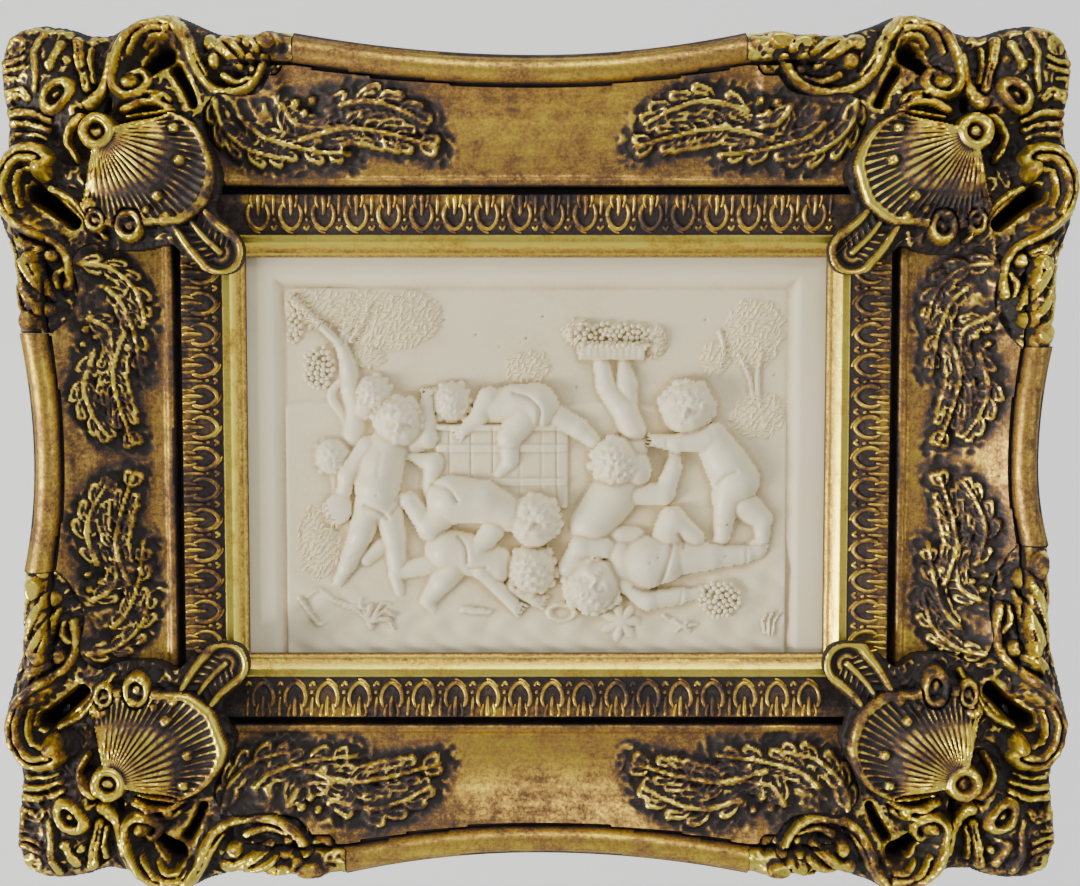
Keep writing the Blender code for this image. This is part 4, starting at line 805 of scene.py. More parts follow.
def grid(left, right, low, high, step):
    """Two arrays of x and z over a rectangle."""
    across = np.linspace(left, right, round((right - left) / step) + 1)
    up = np.linspace(low, high, round((high - low) / step) + 1)
    return np.meshgrid(across, up)


def crest(height, step, fine, broad):
    """How far each place stands out from its surroundings, from about -1 to 1."""
    near = (height - soften(height, max(1, round(fine / step)))) / (0.22 * fine)
    wide = (height - soften(height, max(1, round(broad / step)))) / (0.30 * broad)
    return np.clip(0.6 * near + 0.6 * wide, -1.5, 1.5)


half_width, half_height = OPENING_WIDTH / 2 + PLAQUE_LAP, OPENING_HEIGHT / 2 + PLAQUE_LAP
x, z = grid(-half_width, half_width, -half_height, half_height, PLAQUE_STEP)
height = relief_height(x, z)
plaque_fields = {"crest": crest(height, PLAQUE_STEP, 0.5 * MM, 2.2 * MM)}
plaque_mesh = carved_slab("relief_plaque", x, z, height, plaque_fields)
print("relief rises", round((height.max() - PLAQUE_GROUND) / MM, 2), "mm above its ground")
add_piece("relief_plaque", plaque_mesh, "cast_stone", "relief_plaque")


# %% [markdown]
# ## The slip
#
# The slip is the gilt lining round the picture: a sight bevel, a narrow fillet, a strip of leaf tips
# and a dark channel. It is run as one moulding and mitred, so its height depends only on
# the distance from the opening, and its ends are simply where the mitre falls.

# %% Slip mouldings
SLIP_STEP = 0.42 * MM


def slip_height(d):
    """Sight bevel, fillet, bulging leaf strip and the channel floor."""
    bevel = smooth_step(d / SIGHT_BEVEL)
    height = SIGHT_HEIGHT + (SIGHT_FILLET_HEIGHT - SIGHT_HEIGHT) * bevel
    height = height + 0.35 * MM * np.exp(-((d - 0.7 * MM) / (0.5 * MM)) ** 2)
    height = height - 0.3 * MM * np.exp(-((d - SIGHT_BEVEL) / (0.25 * MM)) ** 2)
    strip = (d - SIGHT_BEVEL - SIGHT_FILLET) / LEAF_STRIP
    face = SIGHT_FILLET_HEIGHT + (LEAF_STRIP_HEIGHT - SIGHT_FILLET_HEIGHT) * strip
    face = face + 0.4 * LEAF_RELIEF * np.sin(math.pi * np.clip(strip, 0, 1)) - 0.25 * MM
    height = np.where(strip > 0, face, height)
    return np.where(strip > 1, CHANNEL_HEIGHT, height)


SIDES = {
    "top": (OPENING_WIDTH, OPENING_HEIGHT, 1, True), "bottom": (OPENING_WIDTH, OPENING_HEIGHT, -1, True),
    "left": (OPENING_HEIGHT, OPENING_WIDTH, -1, False), "right": (OPENING_HEIGHT, OPENING_WIDTH, 1, False),
}


def to_wall(s, out, level):
    """x and z of a place along a side and out from the middle."""
    return (s, out) if level else (out, s)


for side_name, (length, span, side, level) in SIDES.items():
    v, u = np.meshgrid(np.linspace(0, 1, round(SLIP_WIDTH / SLIP_STEP) + 1),
                       np.linspace(-1, 1, round(length / SLIP_STEP) + 1), indexing="ij")
    d = v * SLIP_WIDTH
    s = u * (length / 2 + d - CLEARANCE * math.sqrt(0.5))
    height = slip_height(d)
    x, z = to_wall(s, side * (span / 2 + d), level)
    strip = (d - SIGHT_BEVEL - SIGHT_FILLET) / LEAF_STRIP
    gilt = np.where(strip < 0, 0.86, np.where(strip > 1, 0.0, 0.12))
    run = np.stack([s, d, np.zeros_like(d)], -1)
    standing = np.clip(crest(height, SLIP_STEP, 0.6 * MM, 1.2 * MM), -0.6, 0.5)
    fields = {"crest": standing, "gilt": gilt, "run": run}
    rebate = prism("rebate", rectangle(OPENING_WIDTH / 2 + PLAQUE_LAP + CLEARANCE,
                                       OPENING_HEIGHT / 2 + PLAQUE_LAP + CLEARANCE),
                   -5 * MM, PLAQUE_GROUND + BORDER_RISE + CLEARANCE)
    mesh = trimmed(carved_slab("slip", x, z, height, fields), [(rebate, "DIFFERENCE")])
    add_piece("slip_" + side_name, mesh, "gilt_slip", "slip_" + side_name)

# %% [markdown]
# ## The rails
#
# A rail is a hollow cove between a fillet and a rounded rim, and its outer edge is swept, which means
# that it is drawn in at the middle. On each cove lie two sprays of acanthus, mirror images of each
# other. A leaf is a midrib with lobes on both sides, so one function makes every leaf.

# %% Rail section and sprays
RAIL_STEP = 0.5 * MM
BLANK_TAPER = 2.5 * MM
BLANK_DRAW_IN = 3.0 * MM
RAIL_TUCK = 9.0
SPRAY_TOOLING = 0.5 * MM


def rail_height(d, outer):
    """Inner fillet, cove, groove, rim bead and outer side."""
    q = outer - d
    cove_in = RAIL_START + INNER_FILLET
    cove_out = SIDE_WIDTH + RIM_WIDTH + RIM_GROOVE
    fillet_half = INNER_FILLET / 2
    fillet = INNER_FILLET_HEIGHT * 0.94 + INNER_FILLET_HEIGHT * 0.06 * round_over(
        d - RAIL_START - fillet_half, fillet_half)
    t = np.clip((d - cove_in) / (outer - cove_out - cove_in), 0, 1)
    height = COVE_FOOT_HEIGHT + (COVE_TOP_HEIGHT - COVE_FOOT_HEIGHT) * t ** 1.9
    height = np.where(d < cove_in, fillet, height)
    height = np.where(q < cove_out, COVE_TOP_HEIGHT - RIM_GROOVE_DEPTH, height)
    rim_half = RIM_WIDTH / 2
    rim = COVE_TOP_HEIGHT + RIM_RISE * round_over(q - SIDE_WIDTH - rim_half, rim_half)
    height = np.where(q < SIDE_WIDTH + RIM_WIDTH, rim, height)
    side = COVE_TOP_HEIGHT - SIDE_DROP * (1 - round_over(q - SIDE_WIDTH, SIDE_WIDTH))
    return np.where(q < SIDE_WIDTH, side, height)


def rail_outer(s, seam, width, sweep):
    """Distance out to the side of a rail, whose middle is drawn in and whose ends run under."""
    out = RAIL_START + width + sweep * np.minimum(np.abs(s) / seam, 1) ** 2
    return out - BLANK_DRAW_IN * smooth_step((np.abs(s) - seam - BLANK_TAPER) / BLANK_TAPER)


# Leaves of a spray: midrib as shares along it and across the cove, lobes, their length, rise
SPRAY_LEAVES = (
    (((0.00, 0.62), (0.02, 0.05), (0.14, -0.50), (0.32, -0.72)), 5, 0.16, 0.8),
    (((0.30, 0.50), (0.36, 0.10), (0.48, 0.02), (0.60, 0.10)), 4, 0.20, 0.8),
    (((0.38, -0.25), (0.58, 0.00), (0.76, -0.10), (1.00, -0.42)), 7, 0.24, 1.0),
    (((0.50, 0.42), (0.68, 0.62), (0.84, 0.42), (0.96, 0.10)), 5, 0.18, 0.8),
    (((0.14, 0.10), (0.22, -0.22), (0.40, -0.48), (0.60, -0.60)), 5, 0.16, 0.9),
)
SPRAY_BEADS = ((0.46, -0.30, 0.035), (0.40, 0.36, 0.022), (0.36, 0.58, 0.024), (0.44, 0.64, 0.020),
               (0.66, 0.28, 0.020))
SPRAY_BOSS = ((0.20, 0.20), 0.10)


def leaf(t, c, midrib, lobes, length, rise):
    """Rise of one acanthus leaf: a midrib and pairs of lobes that lean towards its tip."""
    line = smooth_curve(midrib, 6)
    total = 0.55 * stroke(t, c, midrib, 0.075, 0.035, rise, 0.0, pillow)
    for k in range(lobes):
        share = (k + 0.4) / lobes
        i = min(int(share * (len(line) - 1)), len(line) - 2)
        at = line[i]
        ahead = (line[i + 1] - at) / np.linalg.norm(line[i + 1] - at)
        swell = length * math.sin(math.pi * (0.22 + 0.7 * share)) * 0.62
        for hand in (-1, 1):
            aside = np.array([-ahead[1], ahead[0]]) * hand
            tip = at + swell * (0.80 * ahead + 0.42 * aside)
            bend = at + swell * (0.30 * ahead + 0.34 * aside)
            total = np.maximum(total, stroke(t, c, (at, bend, tip), 0.020, 0.032, rise * 0.9, 0.45))
    return np.maximum(total, stroke(t, c, midrib, 0.022, 0.012, 1.12 * rise))


def spray(s, d, outer, span):
    """Relief of one spray along the rail, and the share of dark patina round it."""
    start, end = span
    length = end - start
    cove_in = RAIL_START + INNER_FILLET
    cove = (outer - SIDE_WIDTH - RIM_WIDTH - RIM_GROOVE - cove_in).mean()
    along = 1 - (np.abs(s) - start) / length
    across = (d - cove_in - 0.5 * cove) / length
    scale = 0.44 * cove / length
    relief = np.zeros(s.shape)
    halo = np.zeros(s.shape)
    for midrib, lobes, reach, rise in SPRAY_LEAVES:
        drawn = [(t, c * scale) for t, c in midrib]
        relief = np.maximum(relief, leaf(along, across, drawn, lobes, reach, rise))
        halo = np.maximum(halo, stroke(along, across, drawn, 0.17, 0.14, 1.0, 0.0, pillow))
    for t, c, radius in SPRAY_BEADS:
        relief = np.maximum(relief, bead(along, across, (t, c * scale), radius, 1.0))
    (t, c), radius = SPRAY_BOSS
    relief = np.maximum(relief, 0.55 * bead(along, across, (t, c * scale), radius, 1.0, pillow))
    return SPRAY_RISE * relief, smooth_step(halo * 1.6)


# %% [markdown]
# ## The corner castings
#
# Each corner is one casting: a ribbed scallop shell, a tongue of leaf over the mitre, two C-scrolls
# and an arm of petals along each rail. Its forms are drawn on a board that starts at the corner of
# the opening and runs outwards. Broad swellings come first and strokes are laid over them, which is
# how a carver roughs out and then details.

# %% Drawing of a corner casting
TOP_ARM_END = -16.0
SIDE_ARM_END = -18.0
ARM_START = 8.0
CORNER_OUTER = (
    (TOP_ARM_END, (RAIL_START + LONG_RAIL_WIDTH + LONG_RAIL_SWEEP) / CORNER_UNIT),
    (-12.5, 44.7), (-6.0, 43.7), (0.6, 43.5), (4.6, 44.3), (8.6, 45.8), (12.6, 47.3), (16.0, 47.3),
    (20.6, 45.7), (24.0, 43.8), (28.6, 43.3), (33.0, 44.6), (39.0, 45.2), (44.2, 43.4), (46.4, 38.8),
    (46.6, 33.3), (45.6, 26.0), (46.4, 20.3), (48.1, 17.0), (48.7, 12.0), (47.6, 7.3),
    (46.2, 2.0), (45.0, -4.4), (44.3, -11.0),
    ((RAIL_START + SHORT_RAIL_WIDTH + SHORT_RAIL_SWEEP) / CORNER_UNIT, SIDE_ARM_END),
)
CORNER_INNER = (
    (36.6, -18.0), (33.0, -13.5), (31.8, -8.0), (32.6, -2.0), (29.4, 1.8), (24.6, 0.4), (18.6, 0.6),
    (13.6, 2.0), (11.0, -0.2), (7.4, -3.0), (3.0, -3.8), (-0.2, -2.4), (-1.2, 1.6), (0.8, 5.0),
    (4.2, 8.4), (3.6, 12.0), (2.8, 16.0), (4.0, 20.0), (6.0, 24.0), (6.4, 28.0), (3.0, 31.4),
    (-2.0, 31.2), (-7.5, 32.0), (-11.0, 35.5), (-16.0, 37.8),
)
CORNERS = {
    "corner_top_left": (-1, 1, -11.6, -15.4, False),
    "corner_top_right": (1, 1, -18.0, -18.0, False),
    "corner_bottom_left": (-1, -1, -20.8, -18.4, True),
    "corner_bottom_right": (1, -1, -16.4, -23.6, True),
}
PIERCING = (37.6, 11.4)
PIERCING_SIDES = 24
HUB = (26.2, 23.7)
SHELL_RIBS = 19
RIB_RISE = 1.3 * MM
FLUTE_RISE = 0.8 * MM
SHELL_LIP = 1.6 * MM
FAN = (-16.0, 106.0)
# Reach of the fluted skirt at angles round the hub, from the level side to the upright one
SKIRT = ((-16, 14.6), (-6, 18.4), (4, 21.0), (16, 23.6), (34, 24.8), (48, 23.6), (60, 20.6), (72, 19.4),
         (84, 18.6), (96, 17.6), (106, 15.0))

# %% Swellings, scrolls, beads and hollows of a casting
# Swellings and hollows: points, half width at each end, rise or depth in millimetres
SWELLINGS = (
    (((12.0, 43.6), (15.4, 43.6), (20.2, 42.0), (22.6, 37.6), (22.6, 33.4), (19.6, 32.2)), 4.2, 3.4, 5.6),
    (((37.6, 17.6), (42.0, 18.6), (44.6, 14.4), (43.8, 8.6), (39.6, 4.4)), 4.2, 3.4, 5.6),
    (((36.6, 35.6), (35.4, 32.4), (32.0, 29.2)), 9.6, 6.0, 5.0),
    (((8.0, 38.6), (0.0, 39.4), (-11.6, 41.4)), 5.0, 3.0, 3.4),
    (((41.0, 1.0), (39.4, -6.0), (39.6, -15.6)), 4.6, 3.0, 3.4),
)
# Scrolls: points, half width at each end, rise in millimetres, share of it that a groove takes out
SCROLLS = (
    (((10.4, 44.2), (12.6, 45.4), (16.0, 45.2), (19.4, 43.6), (21.8, 40.6), (23.0, 36.8), (23.4, 33.0),
      (21.4, 30.9), (18.4, 31.2), (17.0, 33.6), (18.4, 35.8), (20.2, 34.6)), 1.1, 0.9, 2.8, 0.0),
    (((12.6, 43.8), (15.6, 43.8), (18.4, 42.0), (20.2, 39.0)), 0.8, 0.5, 2.2, 0.0),
    (((13.0, 42.2), (15.2, 42.2), (17.2, 40.4)), 0.7, 0.5, 1.8, 0.0),
    (((28.0, 29.6), (26.2, 31.8), (24.8, 34.6), (23.9, 38.2)), 1.5, 0.7, 3.0, 0.0),
    (((11.6, 45.6), (9.4, 41.8), (8.0, 38.2), (6.2, 34.8), (3.4, 32.6), (0.0, 31.9), (-4.0, 32.3),
      (-7.2, 34.4), (-9.6, 37.8)), 1.1, 0.9, 3.6, 0.0),
    (((10.0, 44.4), (8.0, 41.4), (6.6, 38.2), (4.8, 35.2)), 0.8, 0.5, 2.8, 0.0),
    (((36.6, 13.0), (33.8, 11.6), (31.4, 9.8), (28.9, 6.4), (26.0, 2.8)), 0.8, 0.6, 2.6, 0.0),
    (((37.6, 16.6), (36.2, 18.8), (38.4, 20.8), (42.4, 20.8), (45.6, 17.8), (46.8, 12.8), (45.2, 8.2),
      (41.8, 4.9), (38.2, 3.0), (34.8, 0.6), (33.2, -3.4), (33.6, -8.0)), 1.2, 0.9, 3.2, 0.0),
    (((38.8, 18.6), (42.0, 18.6), (44.2, 15.8), (44.8, 12.0), (43.4, 8.2)), 0.8, 0.6, 2.4, 0.0),
    (((40.0, 16.6), (42.0, 15.8), (42.8, 12.6), (42.0, 9.4)), 0.7, 0.5, 1.8, 0.0),
    (((44.0, 4.8), (41.6, 1.6), (38.2, 0.2)), 1.4, 0.8, 2.6, 0.4),
    (((45.2, 1.6), (43.4, -2.2), (42.6, -5.8)), 1.0, 0.8, 2.0, 0.0),
    (((41.0, -2.5), (39.0, -6.0), (36.9, -9.4)), 1.0, 0.6, 3.0, 0.0),
    (((42.0, -6.0), (40.4, -9.4), (38.2, -12.6)), 1.2, 0.6, 3.0, 0.4),
    (((38.6, -3.4), (37.4, -6.6), (36.0, -10.6)), 0.7, 0.5, 2.6, 0.0),
    (((43.4, -8.0), (42.4, -11.4), (41.0, -13.4)), 1.0, 0.6, 2.0, 0.0),
    (((34.4, -4.0), (35.6, -5.6), (35.2, -8.0)), 0.8, 0.5, 2.2, 0.0),
    (((1.8, 40.8), (-0.6, 38.8), (-3.4, 36.6)), 1.3, 0.8, 3.0, 0.3),
    (((0.4, 42.2), (-2.2, 40.6), (-4.6, 38.6)), 1.1, 0.6, 2.6, 0.0),
    (((-3.4, 42.4), (-5.8, 41.6), (-7.6, 40.4)), 0.8, 0.6, 2.2, 0.0),
    (((0.8, 35.0), (-2.4, 33.8), (-6.0, 34.6)), 0.9, 0.6, 2.4, 0.0),
    (((30.6, 41.4), (30.0, 37.6), (28.9, 32.4)), 1.2, 0.9, 3.2, 0.3),
    (((28.0, 39.6), (28.2, 36.6), (27.6, 33.6)), 0.8, 0.6, 2.4, 0.0),
    (((33.6, 40.8), (34.8, 38.6), (35.4, 36.2)), 1.0, 0.8, 2.2, 0.0),
    (((37.2, 42.8), (38.6, 39.6), (38.2, 35.6), (38.8, 32.2)), 0.9, 0.7, 2.0, 0.0),
    (((45.6, 37.4), (43.2, 37.6), (40.8, 38.4)), 0.8, 0.6, 1.8, 0.0),
    (((45.8, 35.9), (43.2, 36.0), (40.8, 36.6)), 0.6, 0.5, 1.4, 0.0),
    (((45.4, 34.4), (43.0, 34.4)), 0.6, 0.5, 1.2, 0.0),
    (((44.8, 31.0), (42.0, 31.8), (40.6, 30.6)), 1.3, 0.9, 1.8, 0.3),
    (((44.6, 27.6), (40.4, 27.8), (36.4, 26.2)), 0.9, 0.7, 2.2, 0.0),
    (((44.4, 25.6), (40.4, 25.6), (36.6, 24.4)), 0.8, 0.6, 1.8, 0.0),
    (((43.6, 23.6), (40.2, 23.6), (37.4, 22.8)), 0.6, 0.5, 1.2, 0.0),
    (((29.6, 26.4), (32.0, 24.6), (32.8, 22.0), (31.0, 18.6)), 1.1, 0.7, 4.6, 0.0),
    (((21.8, 28.3), (18.6, 29.6), (15.5, 29.8), (13.0, 28.8)), 0.9, 0.7, 4.4, 0.0),
    (((20.9, 26.8), (16.4, 27.6), (12.0, 28.2)), 0.5, 0.5, 3.6, 0.0),
    (((17.0, 31.6), (14.4, 31.4), (12.8, 30.2)), 0.8, 0.6, 3.0, 0.0),
)
BEADS = (
    ((37.6, 16.2), 2.1, 5.6), ((20.0, 33.6), 1.5, 4.4), ((3.7, 41.3), 1.8, 4.0), ((2.6, 37.5), 1.5, 4.0),
    ((-5.9, 40.6), 1.0, 2.8), ((-6.2, 37.6), 1.1, 2.8), ((-8.2, 39.4), 0.9, 2.4), ((-6.4, 35.9), 0.9, 3.0),
    ((-10.4, 41.6), 2.3, 3.8), ((15.3, 30.4), 1.5, 5.0), ((35.6, 36.6), 1.0, 2.2), ((32.4, 37.8), 0.9, 2.0),
    ((40.5, 1.1), 1.4, 3.0), ((39.6, -1.6), 1.6, 4.0), ((36.3, -1.1), 1.5, 4.0), ((37.2, -12.8), 1.7, 3.4),
    ((40.6, -15.4), 2.3, 3.6), ((43.0, 31.0), 0.9, 2.4),
)
SHELL_BEADS = ((11.7, 24.7, 1.1), (10.6, 18.3, 1.1), (15.0, 11.4, 1.1), (21.6, 7.6, 1.0), (28.4, 9.8, 1.3),
               (13.6, 7.6, 1.0), (17.4, 8.8, 0.8))
SIDE_LOBES = (((27.6, 6.6), 2.2, 3.4), ((21.0, 5.6), 3.0, 3.8))
ALMOND = ((34.3, 30.8), 4.4, 2.7, 3.2)
DISC = ((42.7, 40.8), 2.3, 1.2)
HOLLOWS = (
    (((13.6, 39.0), (15.6, 37.6), (17.0, 36.2)), 2.6, 1.6, 8.0),
    (((39.4, 12.0), (36.0, 9.4), (32.4, 6.2)), 2.4, 1.8, 12.0),
    (((11.6, 36.0), (9.6, 32.6), (8.4, 29.6)), 1.6, 1.2, 6.0),
    (((37.6, -4.2), (36.4, -6.4)), 1.5, 1.0, 3.0),
    (((27.4, 26.6), (30.4, 28.0)), 1.2, 0.9, 2.5),
    (((25.2, 28.4), (24.8, 30.2)), 1.0, 0.7, 2.5),
)
HUB_RING = (3.7, 2.6, 1.1)
HUB_BOSS = 1.6
BOARD_SIZE = 50
TONGUE = ((10.4, 9.0), (7.2, 4.2), (3.6, 0.6))
TONGUE_HALF = (3.6, 5.0)
TONGUE_RIBS = 7


# %% Arms drawn out or in
def arm_warp(a, b, top_scale, side_scale):
    """Board places with the two arms drawn out or in, which leaves the shell and tongue alone."""
    top = smooth_step((b - a - ARM_START) / ARM_START) * (a < ARM_START)
    side = smooth_step((a - b - ARM_START) / ARM_START) * (b < ARM_START)
    return (a + (a - ARM_START) * (top_scale - 1) * top,
            b + (b - ARM_START) * (side_scale - 1) * side)


def arm_scales(top_end, side_end):
    """How much longer the real arms are than the drawn ones."""
    return ((ARM_START - top_end) / (ARM_START - TOP_ARM_END),
            (ARM_START - side_end) / (ARM_START - SIDE_ARM_END))


# %% Shell, tongue and the whole casting
def shell(a, b):
    """Height of the scallop shell: a ribbed dome, then a fluted skirt with a raised edge."""
    r = np.hypot(a - HUB[0], b - HUB[1])
    angle = np.degrees(np.arctan2(HUB[1] - b, HUB[0] - a))
    fan = (angle > FAN[0]) & (angle < FAN[1])
    share = (angle - FAN[0]) / (FAN[1] - FAN[0])
    skirt = np.interp(angle, [p[0] for p in SKIRT], [p[1] for p in SKIRT])
    out = r / skirt
    ribs = 1 - 2 * np.abs((share * SHELL_RIBS + 0.25 * np.sin(9 * share)) % 1 - 0.5)
    flutes = 1 - 2 * np.abs((share * SHELL_RIBS * 1.5) % 1 - 0.5)
    inner = np.clip((r - 2.5) / 5, 0, 1) * (1 - smooth_step((out - 0.42) / 0.26))
    outer = smooth_step((out - 0.62) / 0.1) * smooth_step((0.95 - out) / 0.04)
    height = SHELL_HEIGHT + SHELL_DOME * (1 - out ** 2) - 1.6 * MM * smooth_step((out - 0.45) / 0.3)
    height = height + RIB_RISE * (np.sqrt(ribs) - 0.6) * inner + FLUTE_RISE * (flutes ** 1.5 - 0.4) * outer
    height = height + SHELL_LIP * (smooth_step((out - 0.80) / 0.16) + 0.6 * round_over(out - 0.96, 0.04))
    return np.where(fan & (r < skirt), height, 0)


def tongue(a, b):
    """Height of the lobed leaf that runs out over the mitre of the slips."""
    gap, share = along_line(a, b, smooth_curve(TONGUE))
    half = TONGUE_HALF[0] + (TONGUE_HALF[1] - TONGUE_HALF[0]) * share
    height = TONGUE_HEIGHT - 2.2 * MM * share
    rim = 2.4 * MM * round_over(gap - half * 0.84, half * 0.2)
    midrib = 1.9 * MM * round_over(gap, half * 0.15)
    ribs = 1 - 2 * np.abs((share * TONGUE_RIBS + gap * 0.35) % 1 - 0.5)
    veins = 0.9 * MM * ribs * (gap > half * 0.15)
    return np.where(gap < half * 1.04, height + np.maximum(np.maximum(rim, midrib), veins), 0)


def inside(a, b, outline):
    """Whether each point lies inside a closed outline."""
    within = np.zeros(a.shape, bool)
    for (a0, b0), (a1, b1) in zip(outline, np.roll(outline, -1, 0)):
        if b0 != b1:
            within ^= ((b0 > b) != (b1 > b)) & (a < (a1 - a0) * (b - b0) / (b1 - b0) + a0)
    return within


def corner_height(a, b, outline, whole):
    """Height of the casting at board points, whose outer outline rounds its edge."""
    x, z = a * CORNER_UNIT, b * CORNER_UNIT
    body = np.full(a.shape, CORNER_BODY_HEIGHT)
    top_share = smooth_step((ARM_START - 2 - a) / 12) * (b > a)
    side_share = smooth_step((ARM_START - 2 - b) / 12) * (a > b)
    bed = body + (rail_height(z, RAIL_START + LONG_RAIL_WIDTH + LONG_RAIL_SWEEP) - body) * top_share
    bed = bed + (rail_height(x, RAIL_START + SHORT_RAIL_WIDTH + SHORT_RAIL_SWEEP) - bed) * side_share
    swelling = np.zeros(a.shape)
    for points, start, end, rise in SWELLINGS:
        swelling = np.maximum(swelling, stroke(a, b, points, start, end, rise * MM, 0.0, pillow))
    relief = np.zeros(a.shape)
    for points, start, end, rise, groove in SCROLLS:
        relief = np.maximum(relief, stroke(a, b, points, start, end, rise * MM, groove))
    for place, radius, rise in BEADS:
        relief = np.maximum(relief, bead(a, b, place, radius, rise * MM))
    (ca, cb), long_half, short_half, rise = ALMOND
    turn = math.sqrt(0.5)
    r = np.hypot(((a - ca) + (b - cb)) * turn / short_half, ((a - ca) - (b - cb)) * turn / long_half)
    relief = np.maximum(relief, rise * MM * round_over(r - 0.74, 0.28))
    relief = np.maximum(relief, rise * 0.5 * MM * round_over(r, 0.2))
    (ca, cb), radius, rise = DISC
    relief = np.maximum(relief, rise * MM * smooth_step((radius - np.hypot(a - ca, b - cb)) / 0.4))
    height = bed + swelling + relief
    for points, start, end, depth in HOLLOWS:
        hollow = stroke(a, b, points, start, end, depth * MM, 0.0, pillow)
        height = np.where(relief < 0.8 * MM, height - hollow, height)
    height = np.maximum(height, shell(a, b))
    for place, radius, proud in SIDE_LOBES:
        gap = np.hypot(a - place[0], (b - place[1]) * 0.8)
        curl = np.maximum(round_over(gap - radius * 0.7, radius * 0.3), 0.8 * round_over(gap, radius * 0.45))
        lobe = SHELL_HEIGHT - 3 * MM + proud * MM * curl
        height = np.where(gap < radius, np.maximum(height - 1.5 * MM, lobe), height)
    height = np.maximum(height, tongue(a, b))
    for ca, cb, radius in SHELL_BEADS:
        height = height + 2.0 * MM * round_over(np.hypot(a - ca, b - cb), radius)
    r = np.hypot(a - HUB[0], b - HUB[1])
    ring_edge, ring_middle, ring_half = HUB_RING
    ring = SHELL_HEIGHT + SHELL_DOME - 2.2 * MM + 3.4 * MM * round_over(r - ring_middle, ring_half)
    boss = SHELL_HEIGHT + SHELL_DOME - 2.6 * MM + 2.2 * MM * round_over(r, HUB_BOSS)
    height = np.where(r < ring_edge, np.maximum(height, ring), height)
    height = np.where(r < HUB_BOSS, boss, height)
    gap, _ = along_line(a, b, outline)
    edge = np.clip(1 - gap * CORNER_UNIT / CORNER_EDGE_ROUND, 0, 1)
    height = height - CORNER_EDGE_DROP * (1 - np.sqrt(1 - edge ** 2))
    margin, _ = along_line(a, b, np.concatenate([whole, whole[:1]]))
    return np.where(inside(a, b, whole) | (margin < 1.5), height, CORNER_BODY_HEIGHT)


def corner_outline(side_x, side_z, top_end, side_end, gap=0.0):
    """Outline of a corner casting in x and z, grown by a gap."""
    board = np.concatenate([smooth_curve(points, 4) for points in (CORNER_OUTER, CORNER_INNER)])
    board = np.stack(arm_warp(*board.T, *arm_scales(top_end, side_end)), 1)
    run = np.roll(board, -1, 0) - np.roll(board, 1, 0)
    normal = np.stack([-run[:, 1], run[:, 0]], 1) / np.hypot(*run.T)[:, None]
    x, z = (board * CORNER_UNIT + normal * gap).T
    return np.stack([side_x * (OPENING_WIDTH / 2 + x), side_z * (OPENING_HEIGHT / 2 + z)], 1)


# %% Cast the four corners
CARVING_STEP = 0.36 * MM
CUTTER_BACK = -8.0 * MM
CUTTER_FRONT = 60.0 * MM
CORNER_GILT = 0.34
HUB_GILT = 0.26
ARM_GILT = 0.14
ARM_GILT_PLACE = (23, 36)
SKIRT_START = 13
TOOLING_RISE = 0.70 * MM

rounded = smooth_curve(CORNER_OUTER)
whole = np.concatenate([rounded, smooth_curve(CORNER_INNER)])
for name, (side_x, side_z, top_end, side_end, pierced) in CORNERS.items():
    reach = BOARD_SIZE * CORNER_UNIT
    a, b = grid((top_end - 1) * CORNER_UNIT, reach, (side_end - 1) * CORNER_UNIT, reach, CARVING_STEP)
    a, b = a / CORNER_UNIT, b / CORNER_UNIT
    top_scale, side_scale = arm_scales(top_end, side_end)
    drawn_a, drawn_b = arm_warp(a, b, 1 / top_scale, 1 / side_scale)
    height = corner_height(drawn_a, drawn_b, rounded, whole)
    ground = soften(((shell(drawn_a, drawn_b) == 0) & (tongue(drawn_a, drawn_b) == 0)).astype(float), 2)
    height = height + TOOLING_RISE * ground * tooling(a.shape, CARVING_STEP, len(pieces))
    x = side_x * (OPENING_WIDTH / 2 + a * CORNER_UNIT)
    z = side_z * (OPENING_HEIGHT / 2 + b * CORNER_UNIT)
    r = np.hypot(a - HUB[0], b - HUB[1])
    from_arm = np.hypot(a - ARM_GILT_PLACE[0], b - ARM_GILT_PLACE[1])
    gilt = CORNER_GILT + HUB_GILT * np.exp(-(r / 10) ** 2) + ARM_GILT * np.exp(-(from_arm / 7) ** 2)
    gilt = gilt - 0.08 * ((r > SKIRT_START) & (shell(drawn_a, drawn_b) > 0))
    run = np.stack([x, z, np.zeros_like(x)], -1)
    fields = {"crest": crest(height, CARVING_STEP, 0.7 * MM, 2.4 * MM), "gilt": gilt, "run": run}
    cuts = [(prism("room", rectangle(OPENING_WIDTH / 2 + RAIL_START, OPENING_HEIGHT / 2 + RAIL_START),
                   CUTTER_BACK, LEAF_CLEARANCE), "DIFFERENCE")]
    if pierced:
        turn = np.linspace(0, 2 * math.pi, PIERCING_SIDES, endpoint=False)
        hole_x = side_x * (OPENING_WIDTH / 2 + PIERCING[0] * CORNER_UNIT)
        hole_z = side_z * (OPENING_HEIGHT / 2 + PIERCING[1] * CORNER_UNIT)
        ring = np.stack([hole_x + PIERCING_RADIUS * np.cos(turn), hole_z + PIERCING_RADIUS * np.sin(turn)], 1)
        cuts.append((prism("piercing", ring, CUTTER_BACK, CUTTER_FRONT), "DIFFERENCE"))
    shape = (side_x, side_z, top_end, side_end)
    cuts.append((prism("outline", corner_outline(*shape), CUTTER_BACK, CUTTER_FRONT), "INTERSECT"))
    add_piece(name, trimmed(carved_slab(name, x, z, height, fields), cuts), "gilt_casting", name)

